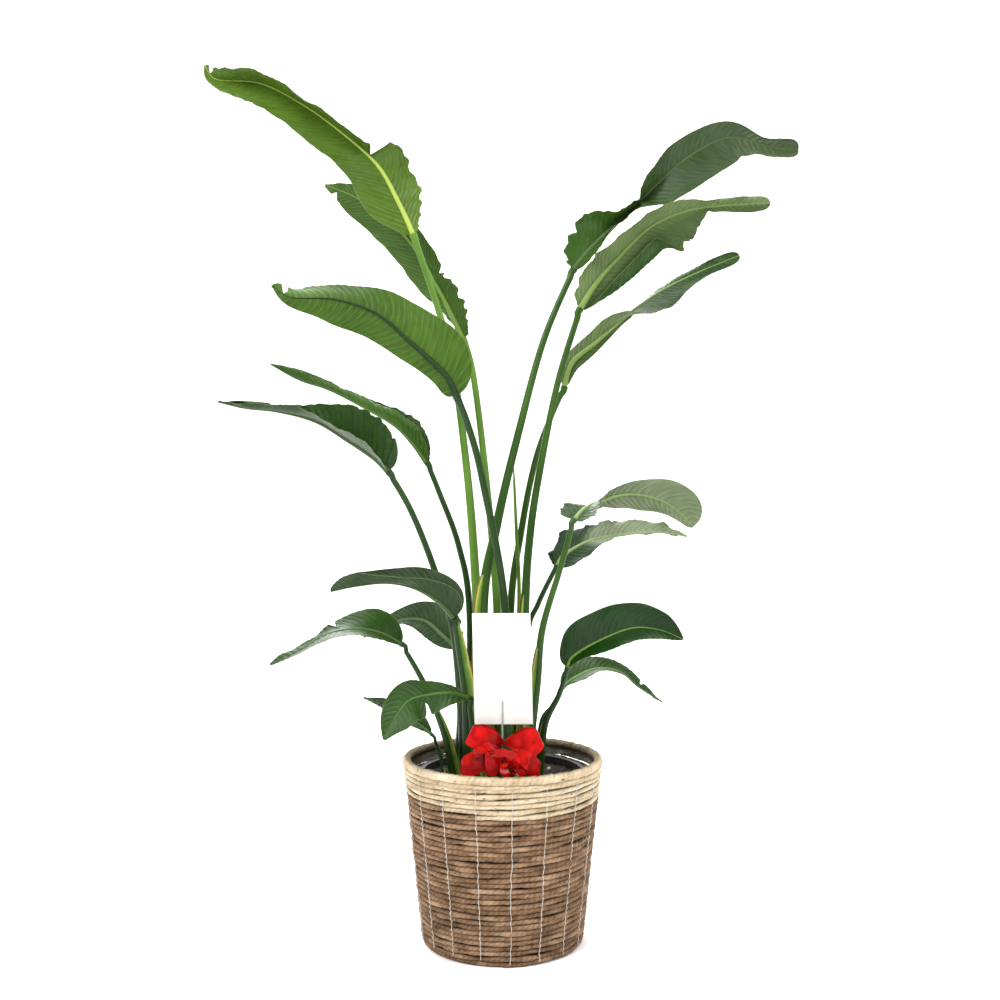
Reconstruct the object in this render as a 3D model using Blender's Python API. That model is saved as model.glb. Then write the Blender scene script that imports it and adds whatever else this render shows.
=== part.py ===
"""White bird of paradise in a grower's pot, standing in a coiled rope basket.

Metres, +Z up, front towards -Y. The origin is the middle of the basket's underside.
"""
import math

import bmesh
import bpy
from mathutils import Matrix, Vector

GAP = 0.0003                    # left between pieces that touch
ROUND_SEGMENTS = 48             # round the basket and the pot
SHARP_ANGLE = math.radians(35)  # edges sharper than this stay crisp

# Basket: brown rope for the floor and wall, cream rope for the band under the rim
BASKET_HEIGHT = 0.327
BASKET_RIM_RADIUS = 0.180
BASKET_FOOT_RADIUS = 0.1446
ROPE = 0.009                    # diameter of the wall's rope
RIM_ROPE = 0.016                # diameter of the coil that ends the wall
BAND_BOTTOM = 0.254             # where the cream rope takes over from the brown
FOOT_ROUNDING = 0.010

# Grower's pot, its liner and its soil
FILM = 0.0006
FILM_BELOW_RIM = 0.002          # from the basket's rim coil down to the film's edge
POT_FOOT_HEIGHT = ROPE + FILM + 2 * GAP
POT_RIM_HEIGHT = 0.300
POT_RIM_RADIUS = 0.150
POT_FOOT_RADIUS = 0.118
POT_WALL = 0.002
POT_LIP = 0.006                 # height and overhang of the rolled lip
DRAIN_HOLES = 8
DRAIN_RADIUS = 0.007
DRAIN_CIRCLE = 0.085
DRAIN_SEGMENTS = 12
SOIL_TOP = 0.288

# Card, its stick and the bow
CARD_WIDTH = 0.100
CARD_HEIGHT = 0.190
CARD_THICKNESS = 0.0008
CARD_BOTTOM = 0.401
CARD_FRONT = -0.102             # y of the card's front face
CARD_LEAN = math.radians(1.4)
STICK = 0.003
CLIP_HEIGHT = 0.040
RIBBON = 0.030
RIBBON_THICKNESS = 0.0012
RIBBON_PINCH = 0.35             # share of the ribbon's width left at the bow's middle
BOW_HEIGHT = 0.340              # of the bow's middle
BOW_HEART_RADIUS = 0.027
BOW_HEART_DEPTH = 0.034
BOW_HEART_SEGMENTS = 20
LOOP_DEPTH = 0.010
LOOP_ALONG = 16                 # steps along a loop's ribbon
BOW_LOOPS = ((157, 0.062), (17, 0.062), (191, 0.068), (-14, 0.066))   # direction in degrees, length

# Leaves
BLADE_THICKNESS = 0.0014
BLADE_ALONG = 10                # faces along a blade and across it
BLADE_ACROSS = 6
BLADE_END = 0.0035              # half-width left at a blade's two ends
EDGE_SWEEP = (-0.40, -0.05, 0.20, 0.30, 0.30)   # how far a blade's edge runs ahead, base to tip, per width
CURVE_STEPS = 400               # to measure a curve's length by
SPINE_STEPS = 40
PETIOLE_STEP = 0.075            # length of a petiole between two of its rings
PETIOLE_TAPER = 1.6             # power that the radius falls by from the soil to the blade
STEM_SIDES = 8
END_STEP = 0.008                # straight length at both ends of a stem
SPEAR_STEPS = 8

COLOURS = {
    "leaf": ((0.10, 0.22, 0.06), 0.42),
    "petiole": ((0.13, 0.24, 0.07), 0.50),
    "spear": ((0.16, 0.30, 0.08), 0.45),
    "brown_rope": ((0.24, 0.14, 0.07), 0.90),
    "cream_rope": ((0.74, 0.66, 0.52), 0.90),
    "film": ((0.85, 0.87, 0.88), 0.15),
    "pot": ((0.02, 0.02, 0.02), 0.55),
    "soil": ((0.05, 0.035, 0.025), 0.95),
    "card": ((0.88, 0.88, 0.86), 0.60),
    "clear_plastic": ((0.80, 0.83, 0.84), 0.15),
    "ribbon": ((0.55, 0.02, 0.03), 0.35),
}


# Each leaf: its petiole's points from the soil up, the petiole's radius at the soil and at the blade,
# and the midrib's points. Then, spaced evenly from base to tip, the width of each half, the direction
# it heads from the midrib in degrees (0 to the front, 90 up, 180 to the back, 270 down) and how far it
# bends towards the upper face on its way to its edge. near is the half on the front side of a blade
# that faces up, and far is the other.
LEAVES = {
    "left_top": dict(
        petiole=[(-0.034, 0.018), (-0.045, 0.020, 0.580), (-0.065, 0.035, 0.840), (-0.100, 0.050, 1.070),
                 (-0.165, 0.050, 1.275)],
        radius=(0.011, 0.0060),
        midrib=[(-0.165, 0.050, 1.275), (-0.190, 0.050, 1.330), (-0.230, 0.040, 1.400),
                (-0.295, 0.020, 1.455), (-0.365, 0.000, 1.500), (-0.435, -0.015, 1.530),
                (-0.510, -0.020, 1.535), (-0.530, -0.020, 1.560)],
        near_width=(0.030, 0.066, 0.060, 0.056, 0.052, 0.040, 0.012),
        near_turn=(-80, -75, -72, -68, -65, -65, -60), near_curl=(0, 0, 0, 0, 0, 0, 0),
        far_width=(0.030, 0.052, 0.057, 0.046, 0.044, 0.044, 0.042, 0.036, 0.022),
        far_turn=(95, 92, 88, 14, 5, 5, 8, 20, 45), far_curl=(0, 0, 0, 0, 0, 0, 0, 0, 0)),
    "left_high": dict(
        petiole=[(-0.006, 0.030), (-0.010, 0.050, 0.580), (-0.030, 0.070, 0.820), (-0.055, 0.090, 1.020),
                 (-0.075, 0.100, 1.090)],
        radius=(0.009, 0.0060),
        midrib=[(-0.075, 0.100, 1.090), (-0.095, 0.110, 1.135), (-0.120, 0.120, 1.185),
                (-0.170, 0.140, 1.270), (-0.230, 0.160, 1.335), (-0.295, 0.180, 1.380),
                (-0.350, 0.200, 1.405)],
        near_width=(0.045, 0.042, 0.030, 0.030, 0.030, 0.025, 0.010),
        near_turn=(75, 60, 60, 70, 75, 80, 80), near_curl=(0, 0, 0, 0, 0, 0, 0),
        far_width=(0.012, 0.022, 0.042, 0.045, 0.042, 0.034, 0.012),
        far_turn=(200, 220, 240, 250, 255, 255, 255), far_curl=(0, 0, 0, 0, 0, 0, 0)),
    "left_middle": dict(
        petiole=[(0.004, -0.022), (0.005, -0.020, 0.585), (-0.035, -0.060, 0.820), (-0.060, -0.080, 0.915),
                 (-0.080, -0.100, 0.965)],
        radius=(0.009, 0.0060),
        midrib=[(-0.080, -0.100, 0.965), (-0.095, -0.110, 0.995), (-0.120, -0.120, 1.020),
                (-0.155, -0.140, 1.050), (-0.210, -0.160, 1.095), (-0.275, -0.180, 1.115),
                (-0.345, -0.200, 1.115), (-0.375, -0.200, 1.135)],
        near_width=(0.035, 0.068, 0.062, 0.048, 0.036, 0.034, 0.022),
        near_turn=(95, 95, 95, 100, 110, 115, 110), near_curl=(0, 0, 10, 20, 30, 40, 0),
        far_width=(0.032, 0.026, 0.034, 0.044, 0.042, 0.024, 0.008),
        far_turn=(265, 262, 260, 262, 265, 265, 260), far_curl=(0, 0, 0, 0, 0, 0, 0)),
    "left_folded": dict(
        petiole=[(-0.058, 0.031), (-0.060, 0.030, 0.580), (-0.080, 0.040, 0.700), (-0.115, 0.050, 0.795),
                 (-0.140, 0.060, 0.855)],
        radius=(0.009, 0.0050),
        midrib=[(-0.140, 0.060, 0.855), (-0.165, 0.070, 0.890), (-0.200, 0.085, 0.925),
                (-0.260, 0.100, 0.960), (-0.330, 0.120, 0.995), (-0.390, 0.135, 1.015),
                (-0.445, 0.140, 1.045)],
        near_width=(0.020, 0.032, 0.026, 0.020, 0.018, 0.020, 0.010),
        near_turn=(40, 35, 25, 20, 20, 30, 40), near_curl=(40, 60, 110, 130, 120, 60, 30),
        far_width=(0.022, 0.042, 0.030, 0.020, 0.018, 0.024, 0.010),
        far_turn=(120, 125, 140, 160, 160, 140, 120), far_curl=(0, 20, 70, 100, 110, 50, 20)),
    "left_front": dict(
        petiole=[(-0.066, 0.006), (-0.085, -0.010, 0.535), (-0.120, -0.030, 0.660), (-0.160, -0.050, 0.765),
                 (-0.200, -0.060, 0.835)],
        radius=(0.010, 0.0055),
        midrib=[(-0.200, -0.060, 0.835), (-0.225, -0.070, 0.860), (-0.270, -0.080, 0.890),
                (-0.320, -0.100, 0.920), (-0.380, -0.120, 0.935), (-0.435, -0.130, 0.940),
                (-0.480, -0.130, 0.950)],
        near_width=(0.020, 0.045, 0.045, 0.035, 0.022, 0.014, 0.006),
        near_turn=(0, 12, 15, 18, 15, 10, 10), near_curl=(0, 0, 0, 0, 40, 60, 60),
        far_width=(0.035, 0.062, 0.060, 0.028, 0.014, 0.014, 0.006),
        far_turn=(80, 85, 90, 110, 130, 120, 100), far_curl=(0, 0, 0, 20, 40, 40, 0)),
    "left_low": dict(
        petiole=[(-0.060, -0.020), (-0.065, -0.030, 0.430), (-0.075, -0.040, 0.510), (-0.085, -0.060, 0.580)],
        radius=(0.011, 0.0055),
        midrib=[(-0.085, -0.060, 0.580), (-0.110, -0.080, 0.610), (-0.150, -0.100, 0.635),
                (-0.195, -0.120, 0.645), (-0.245, -0.130, 0.640), (-0.290, -0.130, 0.630)],
        near_width=(0.020, 0.040, 0.036, 0.030, 0.030, 0.030, 0.020),
        near_turn=(60, 50, 30, 0, -10, 0, 0), near_curl=(0, 20, 40, 60, 90, 160, 160),
        far_width=(0.030, 0.046, 0.040, 0.030, 0.028, 0.030, 0.020),
        far_turn=(90, 100, 110, 150, 170, 180, 180), far_curl=(0, 0, 10, 60, 90, 160, 160)),
    "left_low_back": dict(
        petiole=[(-0.083, 0.024), (-0.078, 0.028, 0.420), (-0.085, 0.040, 0.515)],
        radius=(0.006, 0.0045),
        midrib=[(-0.085, 0.040, 0.515), (-0.110, 0.055, 0.535), (-0.145, 0.080, 0.560),
                (-0.190, 0.100, 0.560), (-0.230, 0.120, 0.540), (-0.265, 0.120, 0.525)],
        near_width=(0.035, 0.050, 0.035, 0.020, 0.014, 0.008),
        near_turn=(80, 80, 85, 95, 100, 100), near_curl=(0, 0, 0, 0, 0, 0),
        far_width=(0.015, 0.025, 0.028, 0.014, 0.010, 0.006),
        far_turn=(260, 262, 255, 240, 230, 230), far_curl=(0, 0, 0, 0, 0, 0)),
    "left_side": dict(
        petiole=[(-0.085, -0.020), (-0.100, -0.020, 0.360), (-0.125, -0.030, 0.430), (-0.150, -0.030, 0.480),
                 (-0.180, -0.030, 0.530)],
        radius=(0.010, 0.0045),
        midrib=[(-0.180, -0.030, 0.530), (-0.215, -0.040, 0.550), (-0.255, -0.060, 0.560),
                (-0.300, -0.090, 0.555), (-0.345, -0.110, 0.530), (-0.395, -0.120, 0.505)],
        near_width=(0.015, 0.035, 0.036, 0.030, 0.022, 0.012),
        near_turn=(-10, -8, -15, -25, -30, -30), near_curl=(0, 0, 10, 20, 30, 40),
        far_width=(0.022, 0.044, 0.034, 0.022, 0.018, 0.010),
        far_turn=(100, 120, 150, 165, 165, 150), far_curl=(0, 0, 0, 0, 20, 40)),
    "left_hanging": dict(
        petiole=[(-0.044, -0.040), (-0.055, -0.050, 0.400), (-0.060, -0.060, 0.440)],
        radius=(0.006, 0.0045),
        midrib=[(-0.060, -0.060, 0.440), (-0.090, -0.075, 0.450), (-0.130, -0.100, 0.450),
                (-0.160, -0.130, 0.445), (-0.180, -0.160, 0.420), (-0.195, -0.180, 0.390)],
        near_width=(0.012, 0.026, 0.036, 0.038, 0.030, 0.010),
        near_turn=(-30, -40, -60, -70, -70, -70), near_curl=(0, 0, 0, 0, 0, 0),
        far_width=(0.012, 0.024, 0.032, 0.032, 0.024, 0.010),
        far_turn=(150, 140, 125, 110, 105, 100), far_curl=(0, 0, 0, 0, 0, 0)),
    "left_small": dict(
        petiole=[(-0.106, 0.010), (-0.115, 0.020, 0.330), (-0.130, 0.020, 0.360)],
        radius=(0.004, 0.0030),
        midrib=[(-0.130, 0.020, 0.360), (-0.145, 0.030, 0.370), (-0.175, 0.050, 0.385),
                (-0.215, 0.070, 0.400), (-0.260, 0.080, 0.415)],
        near_width=(0.006, 0.014, 0.016, 0.014, 0.004),
        near_turn=(-30, -30, -20, -10, 0), near_curl=(0, 0, 0, 0, 0),
        far_width=(0.010, 0.020, 0.018, 0.014, 0.004),
        far_turn=(90, 100, 110, 120, 120), far_curl=(0, 0, 0, 0, 0)),
    "right_top": dict(
        petiole=[(-0.022, -0.012), (-0.035, -0.010, 0.585), (-0.010, -0.010, 0.740), (0.030, 0.000, 0.910),
                 (0.075, 0.010, 1.075), (0.130, 0.020, 1.205)],
        radius=(0.013, 0.0060),
        midrib=[(0.130, 0.020, 1.205), (0.150, 0.010, 1.230), (0.185, 0.005, 1.265),
                (0.245, -0.010, 1.320), (0.325, -0.030, 1.390), (0.400, -0.040, 1.425),
                (0.470, -0.050, 1.405), (0.520, -0.050, 1.400)],
        near_width=(0.020, 0.036, 0.028, 0.050, 0.056, 0.048, 0.024, 0.034),
        near_turn=(-60, -20, -15, -60, -80, -85, -80, -70), near_curl=(0, 0, 0, 0, 0, 0, 20, 30),
        far_width=(0.050, 0.060, 0.045, 0.040, 0.036, 0.030, 0.014, 0.034),
        far_turn=(110, 85, 5, 35, 62, 58, 70, 75), far_curl=(0, 0, 0, 0, 0, 0, 20, 30)),
    "right_high": dict(
        petiole=[(0.036, 0.012), (0.040, 0.000, 0.585), (0.050, 0.000, 0.730), (0.070, 0.000, 0.855),
                 (0.100, 0.000, 1.000), (0.140, 0.000, 1.130)],
        radius=(0.011, 0.0060),
        midrib=[(0.140, 0.000, 1.130), (0.165, 0.005, 1.170), (0.205, 0.020, 1.220),
                (0.270, 0.040, 1.285), (0.340, 0.060, 1.320), (0.410, 0.080, 1.335),
                (0.505, 0.100, 1.345)],
        near_width=(0.030, 0.040, 0.034, 0.030, 0.026, 0.014, 0.015, 0.024),
        near_turn=(95, 80, 45, 45, 50, 60, 75, 80), near_curl=(0, 0, 0, 0, 0, 0, 20, 20),
        far_width=(0.030, 0.060, 0.072, 0.074, 0.060, 0.014, 0.015, 0.024),
        far_turn=(260, 270, 270, 275, 280, 262, 262, 262), far_curl=(0, 0, 0, 0, 0, 0, 20, 20)),
    "right_middle": dict(
        petiole=[(0.016, 0.048), (0.015, 0.050, 0.580), (0.035, 0.050, 0.730), (0.060, 0.050, 0.855),
                 (0.090, 0.060, 0.940), (0.115, 0.060, 0.995)],
        radius=(0.009, 0.0055),
        midrib=[(0.115, 0.060, 0.995), (0.130, 0.065, 1.040), (0.175, 0.080, 1.080),
                (0.240, 0.110, 1.140), (0.310, 0.140, 1.190), (0.385, 0.170, 1.230),
                (0.465, 0.190, 1.265)],
        near_width=(0.018, 0.020, 0.024, 0.042, 0.042, 0.024, 0.014, 0.022),
        near_turn=(100, 95, 60, -30, -62, -70, -75, -80), near_curl=(0, 0, 0, 0, 0, 0, 0, 20),
        far_width=(0.015, 0.018, 0.012, 0.012, 0.012, 0.012, 0.014, 0.022),
        far_turn=(280, 275, 262, 215, 150, 120, 95, 85), far_curl=(0, 0, 0, 0, 0, 0, 0, 20)),
    "right_pale": dict(
        petiole=[(0.040, -0.018), (0.060, -0.030, 0.450), (0.070, -0.040, 0.555), (0.100, -0.050, 0.660),
                 (0.125, -0.060, 0.750)],
        radius=(0.010, 0.0050),
        midrib=[(0.125, -0.060, 0.750), (0.145, -0.035, 0.770), (0.180, 0.010, 0.785),
                (0.235, 0.030, 0.795), (0.285, 0.020, 0.785), (0.318, 0.000, 0.763),
                (0.340, -0.020, 0.737)],
        near_width=(0.030, 0.036, 0.012, 0.016, 0.028, 0.042, 0.046, 0.038),
        near_turn=(-60, -40, 20, 85, 90, 85, 80, 75), near_curl=(0, 0, 0, 0, 0, 0, 0, 0),
        far_width=(0.062, 0.037, 0.015, 0.022, 0.028, 0.022, 0.016, 0.014),
        far_turn=(110, 130, 200, 262, 265, 265, 265, 260), far_curl=(0, 0, 0, 0, 0, 0, 0, 0)),
    "right_back": dict(
        petiole=[(0.042, 0.040), (0.045, 0.020, 0.530), (0.065, 0.030, 0.595), (0.100, 0.040, 0.665)],
        radius=(0.009, 0.0045),
        midrib=[(0.100, 0.040, 0.665), (0.115, 0.050, 0.685), (0.165, 0.080, 0.710),
                (0.225, 0.110, 0.720), (0.290, 0.130, 0.725), (0.355, 0.140, 0.715)],
        near_width=(0.030, 0.030, 0.018, 0.014, 0.012, 0.010),
        near_turn=(-80, -50, -20, -15, -15, -10), near_curl=(0, 0, 0, 0, 0, 0),
        far_width=(0.035, 0.044, 0.036, 0.032, 0.026, 0.012),
        far_turn=(130, 120, 120, 130, 140, 140), far_curl=(0, 0, 0, 0, 0, 0)),
    "right_glossy": dict(
        petiole=[(0.064, -0.010), (0.075, -0.030, 0.385), (0.100, -0.035, 0.440), (0.115, -0.040, 0.490)],
        radius=(0.009, 0.0045),
        midrib=[(0.115, -0.040, 0.490), (0.125, -0.050, 0.510), (0.165, -0.080, 0.540),
                (0.220, -0.100, 0.565), (0.265, -0.120, 0.565), (0.305, -0.130, 0.550)],
        near_width=(0.012, 0.022, 0.034, 0.028, 0.022, 0.010),
        near_turn=(-30, -25, -35, -45, -40, -40), near_curl=(0, 0, 0, 0, 0, 0),
        far_width=(0.020, 0.046, 0.050, 0.046, 0.034, 0.012),
        far_turn=(100, 95, 85, 80, 75, 70), far_curl=(0, 0, 0, 0, 0, 0)),
    "right_narrow": dict(
        petiole=[(0.062, 0.016), (0.070, 0.015, 0.380), (0.090, 0.020, 0.410), (0.110, 0.020, 0.445)],
        radius=(0.006, 0.0040),
        midrib=[(0.110, 0.020, 0.445), (0.130, 0.030, 0.460), (0.175, 0.050, 0.475),
                (0.220, 0.070, 0.465), (0.255, 0.080, 0.435), (0.300, 0.090, 0.405)],
        near_width=(0.012, 0.026, 0.024, 0.020, 0.014, 0.006),
        near_turn=(-20, -15, -5, 0, 0, 0), near_curl=(0, 0, 0, 0, 20, 20),
        far_width=(0.018, 0.030, 0.028, 0.024, 0.016, 0.006),
        far_turn=(120, 130, 140, 150, 150, 150), far_curl=(0, 0, 0, 0, 20, 20)),
}

SPEAR = dict(path=[(0.013, 0.010), (0.030, 0.030, 0.580), (0.025, 0.030, 0.730), (0.020, 0.035, 0.850)],
             radius=(0.006, 0.0025))


def smooth_path(points, u):
    """The point at u, 0 to 1, on a smooth curve through the points."""
    last = len(points) - 1
    step = min(int(u * last), last - 1)
    t = u * last - step
    a = points[max(step - 1, 0)]
    b = points[step]
    c = points[step + 1]
    d = points[min(step + 2, last)]
    return 0.5 * (2 * b + (c - a) * t + (2 * a - 5 * b + 4 * c - d) * t**2 + (3 * b - a - 3 * c + d) * t**3)


def even_path(points, count):
    """The curve through the points, as count + 1 points an equal length apart."""
    fine = [smooth_path(points, i / CURVE_STEPS) for i in range(CURVE_STEPS + 1)]
    travel = [0.0]
    for a, b in zip(fine, fine[1:]):
        travel.append(travel[-1] + (b - a).length)
    result = []
    at = 0
    for i in range(count + 1):
        target = travel[-1] * i / count
        while at < CURVE_STEPS - 1 and travel[at + 1] < target:
            at += 1
        share = (target - travel[at]) / (travel[at + 1] - travel[at])
        result.append(fine[at].lerp(fine[at + 1], share))
    return result


def along(values, u):
    """The value at u of a smooth run through evenly spaced values."""
    return smooth_path(values, u)


def rounding(u):
    """Share of its width that a blade has at u: rounded at its base and at its tip."""
    return math.sqrt(max(1 - abs(2 * u - 1) ** 6, 0))


def half_reach(leaf, half, u):
    """Distance from the midrib to the edge of one half of the blade at u."""
    return max(along(leaf[half + "_width"], u) * rounding(u), BLADE_END)


def bent(start, bend, reach):
    """The run to the front and the rise of an arc that starts at an angle and turns by bend, in radians."""
    if abs(bend) < 0.001:
        return reach * math.cos(start), reach * math.sin(start)
    radius = reach / bend
    end = start + bend
    return radius * (math.sin(end) - math.sin(start)), radius * (math.cos(start) - math.cos(end))


def blade_point(leaf, spine, u, s):
    """The point of a blade at u along its midrib and s across, -1 at the near edge and 1 at the far one."""
    last = len(spine) - 1
    index = min(int(u * last), last - 1)
    middle = spine[index].lerp(spine[index + 1], u * last - index)
    ahead = (spine[min(index + 2, last)] - spine[max(index - 1, 0)]).normalized()
    front = Vector((0, -1, 0))
    front = (front - ahead * front.dot(ahead)).normalized()
    above = ahead.cross(front) * (1 if leaf["midrib"][-1][0] < 0 else -1)
    half = "near" if s < 0 else "far"
    reach = abs(s) * half_reach(leaf, half, u)
    sweep = along(EDGE_SWEEP, u) * s**2
    bend = math.radians(along(leaf[half + "_curl"], u)) * abs(s)
    run, rise = bent(math.radians(along(leaf[half + "_turn"], u)), bend if s < 0 else -bend, reach)
    return middle + front * run + above * rise + ahead * (sweep * max(reach - BLADE_END, 0))


def material(kind):
    """The Principled material of a kind of piece, made once."""
    made = bpy.data.materials.get(kind)
    if made:
        return made
    colour, roughness = COLOURS[kind]
    made = bpy.data.materials.new(kind)
    made.use_nodes = True
    shader = made.node_tree.nodes["Principled BSDF"]
    shader.inputs["Base Color"].default_value = (*colour, 1)
    shader.inputs["Roughness"].default_value = roughness
    shader.inputs["Metallic"].default_value = 0.0
    return made


def add_object(name, data, kind):
    """Put a mesh or a curve in the scene as a named object of its own material."""
    made = bpy.data.objects.new(name, data)
    bpy.context.scene.collection.objects.link(made)
    made.data.materials.append(material(kind))
    return made


def add_mesh(name, bm, kind):
    """Turn a closed bmesh into a named object with its faces outwards."""
    bmesh.ops.recalc_face_normals(bm, faces=bm.faces)
    if bm.calc_volume(signed=True) < 0:
        bmesh.ops.reverse_faces(bm, faces=bm.faces)
    mesh = bpy.data.meshes.new(name)
    bm.to_mesh(mesh)
    bm.free()
    mesh.shade_smooth()
    mesh.set_sharp_from_angle(angle=SHARP_ANGLE)
    return add_object(name, mesh, kind)


def turned(name, profile, kind):
    """A solid of revolution about Z from a closed profile of (radius, height) points."""
    bm = bmesh.new()
    verts = [bm.verts.new((radius, 0, height)) for radius, height in profile]
    edges = [bm.edges.new(pair) for pair in zip(verts, verts[1:])]
    if profile[0][0] > 0:
        edges.append(bm.edges.new((verts[-1], verts[0])))
    bmesh.ops.spin(bm, geom=verts + edges, axis=(0, 0, 1), cent=(0, 0, 0), angle=math.tau,
                   steps=ROUND_SEGMENTS, use_merge=True)
    bmesh.ops.remove_doubles(bm, verts=bm.verts, dist=0.00002)
    return add_mesh(name, bm, kind)


def stem(name, points, radii, kind):
    """A tapering round stem along points, with closed ends."""
    curve = bpy.data.curves.new(name, "CURVE")
    curve.dimensions = "3D"
    curve.bevel_depth = 1.0
    curve.bevel_resolution = STEM_SIDES // 2 - 2
    curve.use_fill_caps = True
    spline = curve.splines.new("POLY")
    spline.points.add(len(points) - 1)
    for knot, point, radius in zip(spline.points, points, radii):
        knot.co = (*point, 1)
        knot.radius = radius
    spline.use_smooth = True
    return add_object(name, curve, kind)


def standing(points):
    """A petiole's points as vectors, its first one on the soil."""
    foot = Vector((*points[0], SOIL_TOP + GAP))
    return [foot] + [Vector(point) for point in points[1:]]


def add_petiole(name, leaf):
    """A petiole, thick where it sheathes the clump and slender where it meets its blade."""
    spine = even_path([Vector(point) for point in leaf["midrib"]], SPINE_STEPS)
    ahead = (spine[2] - spine[0]).normalized()
    points = standing(leaf["petiole"])
    points[-1] = spine[0] - ahead * GAP
    count = max(4, round((points[-1] - points[0]).length / PETIOLE_STEP))
    path = even_path(points, count)
    thick, thin = leaf["radius"]
    radii = [thin + (thick - thin) * (1 - i / count) ** PETIOLE_TAPER for i in range(count + 1)]
    path = [path[0], path[0] + Vector((0, 0, END_STEP)), *path[1:-1], path[-1] - ahead * END_STEP, path[-1]]
    return stem(name, path, [thick, *radii[:-1], thin, thin], "petiole")


def add_blade(name, leaf):
    """A blade: a grid laid along its midrib, folded and curled, then given its thickness."""
    spine = even_path([Vector(point) for point in leaf["midrib"]], SPINE_STEPS)
    bm = bmesh.new()
    bmesh.ops.create_grid(bm, x_segments=BLADE_ALONG, y_segments=BLADE_ACROSS, size=1)
    for vert in bm.verts:
        u = (1 - math.cos(math.pi * (vert.co.x + 1) / 2)) / 2
        vert.co = blade_point(leaf, spine, u, vert.co.y)
    bm.normal_update()
    bmesh.ops.solidify(bm, geom=bm.faces[:], thickness=BLADE_THICKNESS)
    return add_mesh(name, bm, "leaf")


def add_leaves():
    """Every petiole and its blade, and the new leaf that is still rolled up."""
    for name, leaf in LEAVES.items():
        add_petiole("petiole_" + name, leaf)
        add_blade("leaf_" + name, leaf)
    spear = even_path(standing(SPEAR["path"]), SPEAR_STEPS)
    spear.insert(1, spear[0] + Vector((0, 0, END_STEP)))
    thick, thin = SPEAR["radius"]
    last = len(spear) - 1
    stem("spear_new_leaf", spear, [thick + (thin - thick) * i / last for i in range(last + 1)], "spear")


def wall_radius(height):
    """Outer radius of the basket at a height."""
    return BASKET_FOOT_RADIUS + (BASKET_RIM_RADIUS - BASKET_FOOT_RADIUS) * height / BASKET_HEIGHT


def add_basket():
    """The brown floor and wall in one, and the cream band with its thick rim on top."""
    inside_floor = wall_radius(ROPE) - ROPE
    turned("basket_brown_rope", [
        (0, 0),
        (BASKET_FOOT_RADIUS - FOOT_ROUNDING, 0),
        (wall_radius(FOOT_ROUNDING) - FOOT_ROUNDING * 0.3, FOOT_ROUNDING * 0.3),
        (wall_radius(FOOT_ROUNDING), FOOT_ROUNDING),
        (wall_radius(BAND_BOTTOM - GAP), BAND_BOTTOM - GAP),
        (wall_radius(BAND_BOTTOM - GAP) - ROPE, BAND_BOTTOM - GAP),
        (inside_floor, ROPE),
        (0, ROPE)], "brown_rope")
    rim = BASKET_RIM_RADIUS
    turned("basket_cream_rope", [
        (wall_radius(BAND_BOTTOM), BAND_BOTTOM),
        (wall_radius(BASKET_HEIGHT - RIM_ROPE), BASKET_HEIGHT - RIM_ROPE),
        (rim, BASKET_HEIGHT - RIM_ROPE * 0.55),
        (rim - RIM_ROPE * 0.2, BASKET_HEIGHT - RIM_ROPE * 0.12),
        (rim - RIM_ROPE * 0.5, BASKET_HEIGHT),
        (rim - RIM_ROPE * 0.8, BASKET_HEIGHT - RIM_ROPE * 0.12),
        (rim - RIM_ROPE, BASKET_HEIGHT - RIM_ROPE * 0.55),
        (wall_radius(BASKET_HEIGHT - RIM_ROPE) - ROPE, BASKET_HEIGHT - RIM_ROPE),
        (wall_radius(BAND_BOTTOM) - ROPE, BAND_BOTTOM)], "cream_rope")


def add_liner():
    """The clear film that lines the basket up to just under its rim."""
    foot = wall_radius(ROPE) - ROPE - 2 * GAP
    top_height = BASKET_HEIGHT - RIM_ROPE - FILM_BELOW_RIM
    top = wall_radius(top_height) - ROPE - 2 * GAP
    floor = ROPE + GAP
    turned("liner_film", [
        (0, floor), (foot, floor), (top, top_height), (top - FILM, top_height), (foot - FILM, floor + FILM),
        (0, floor + FILM)], "film")


def pot_radius(height):
    """Outer radius of the grower's pot at a height."""
    share = (height - POT_FOOT_HEIGHT) / (POT_RIM_HEIGHT - POT_FOOT_HEIGHT)
    return POT_FOOT_RADIUS + (POT_RIM_RADIUS - POT_LIP - POT_FOOT_RADIUS) * share


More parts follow.
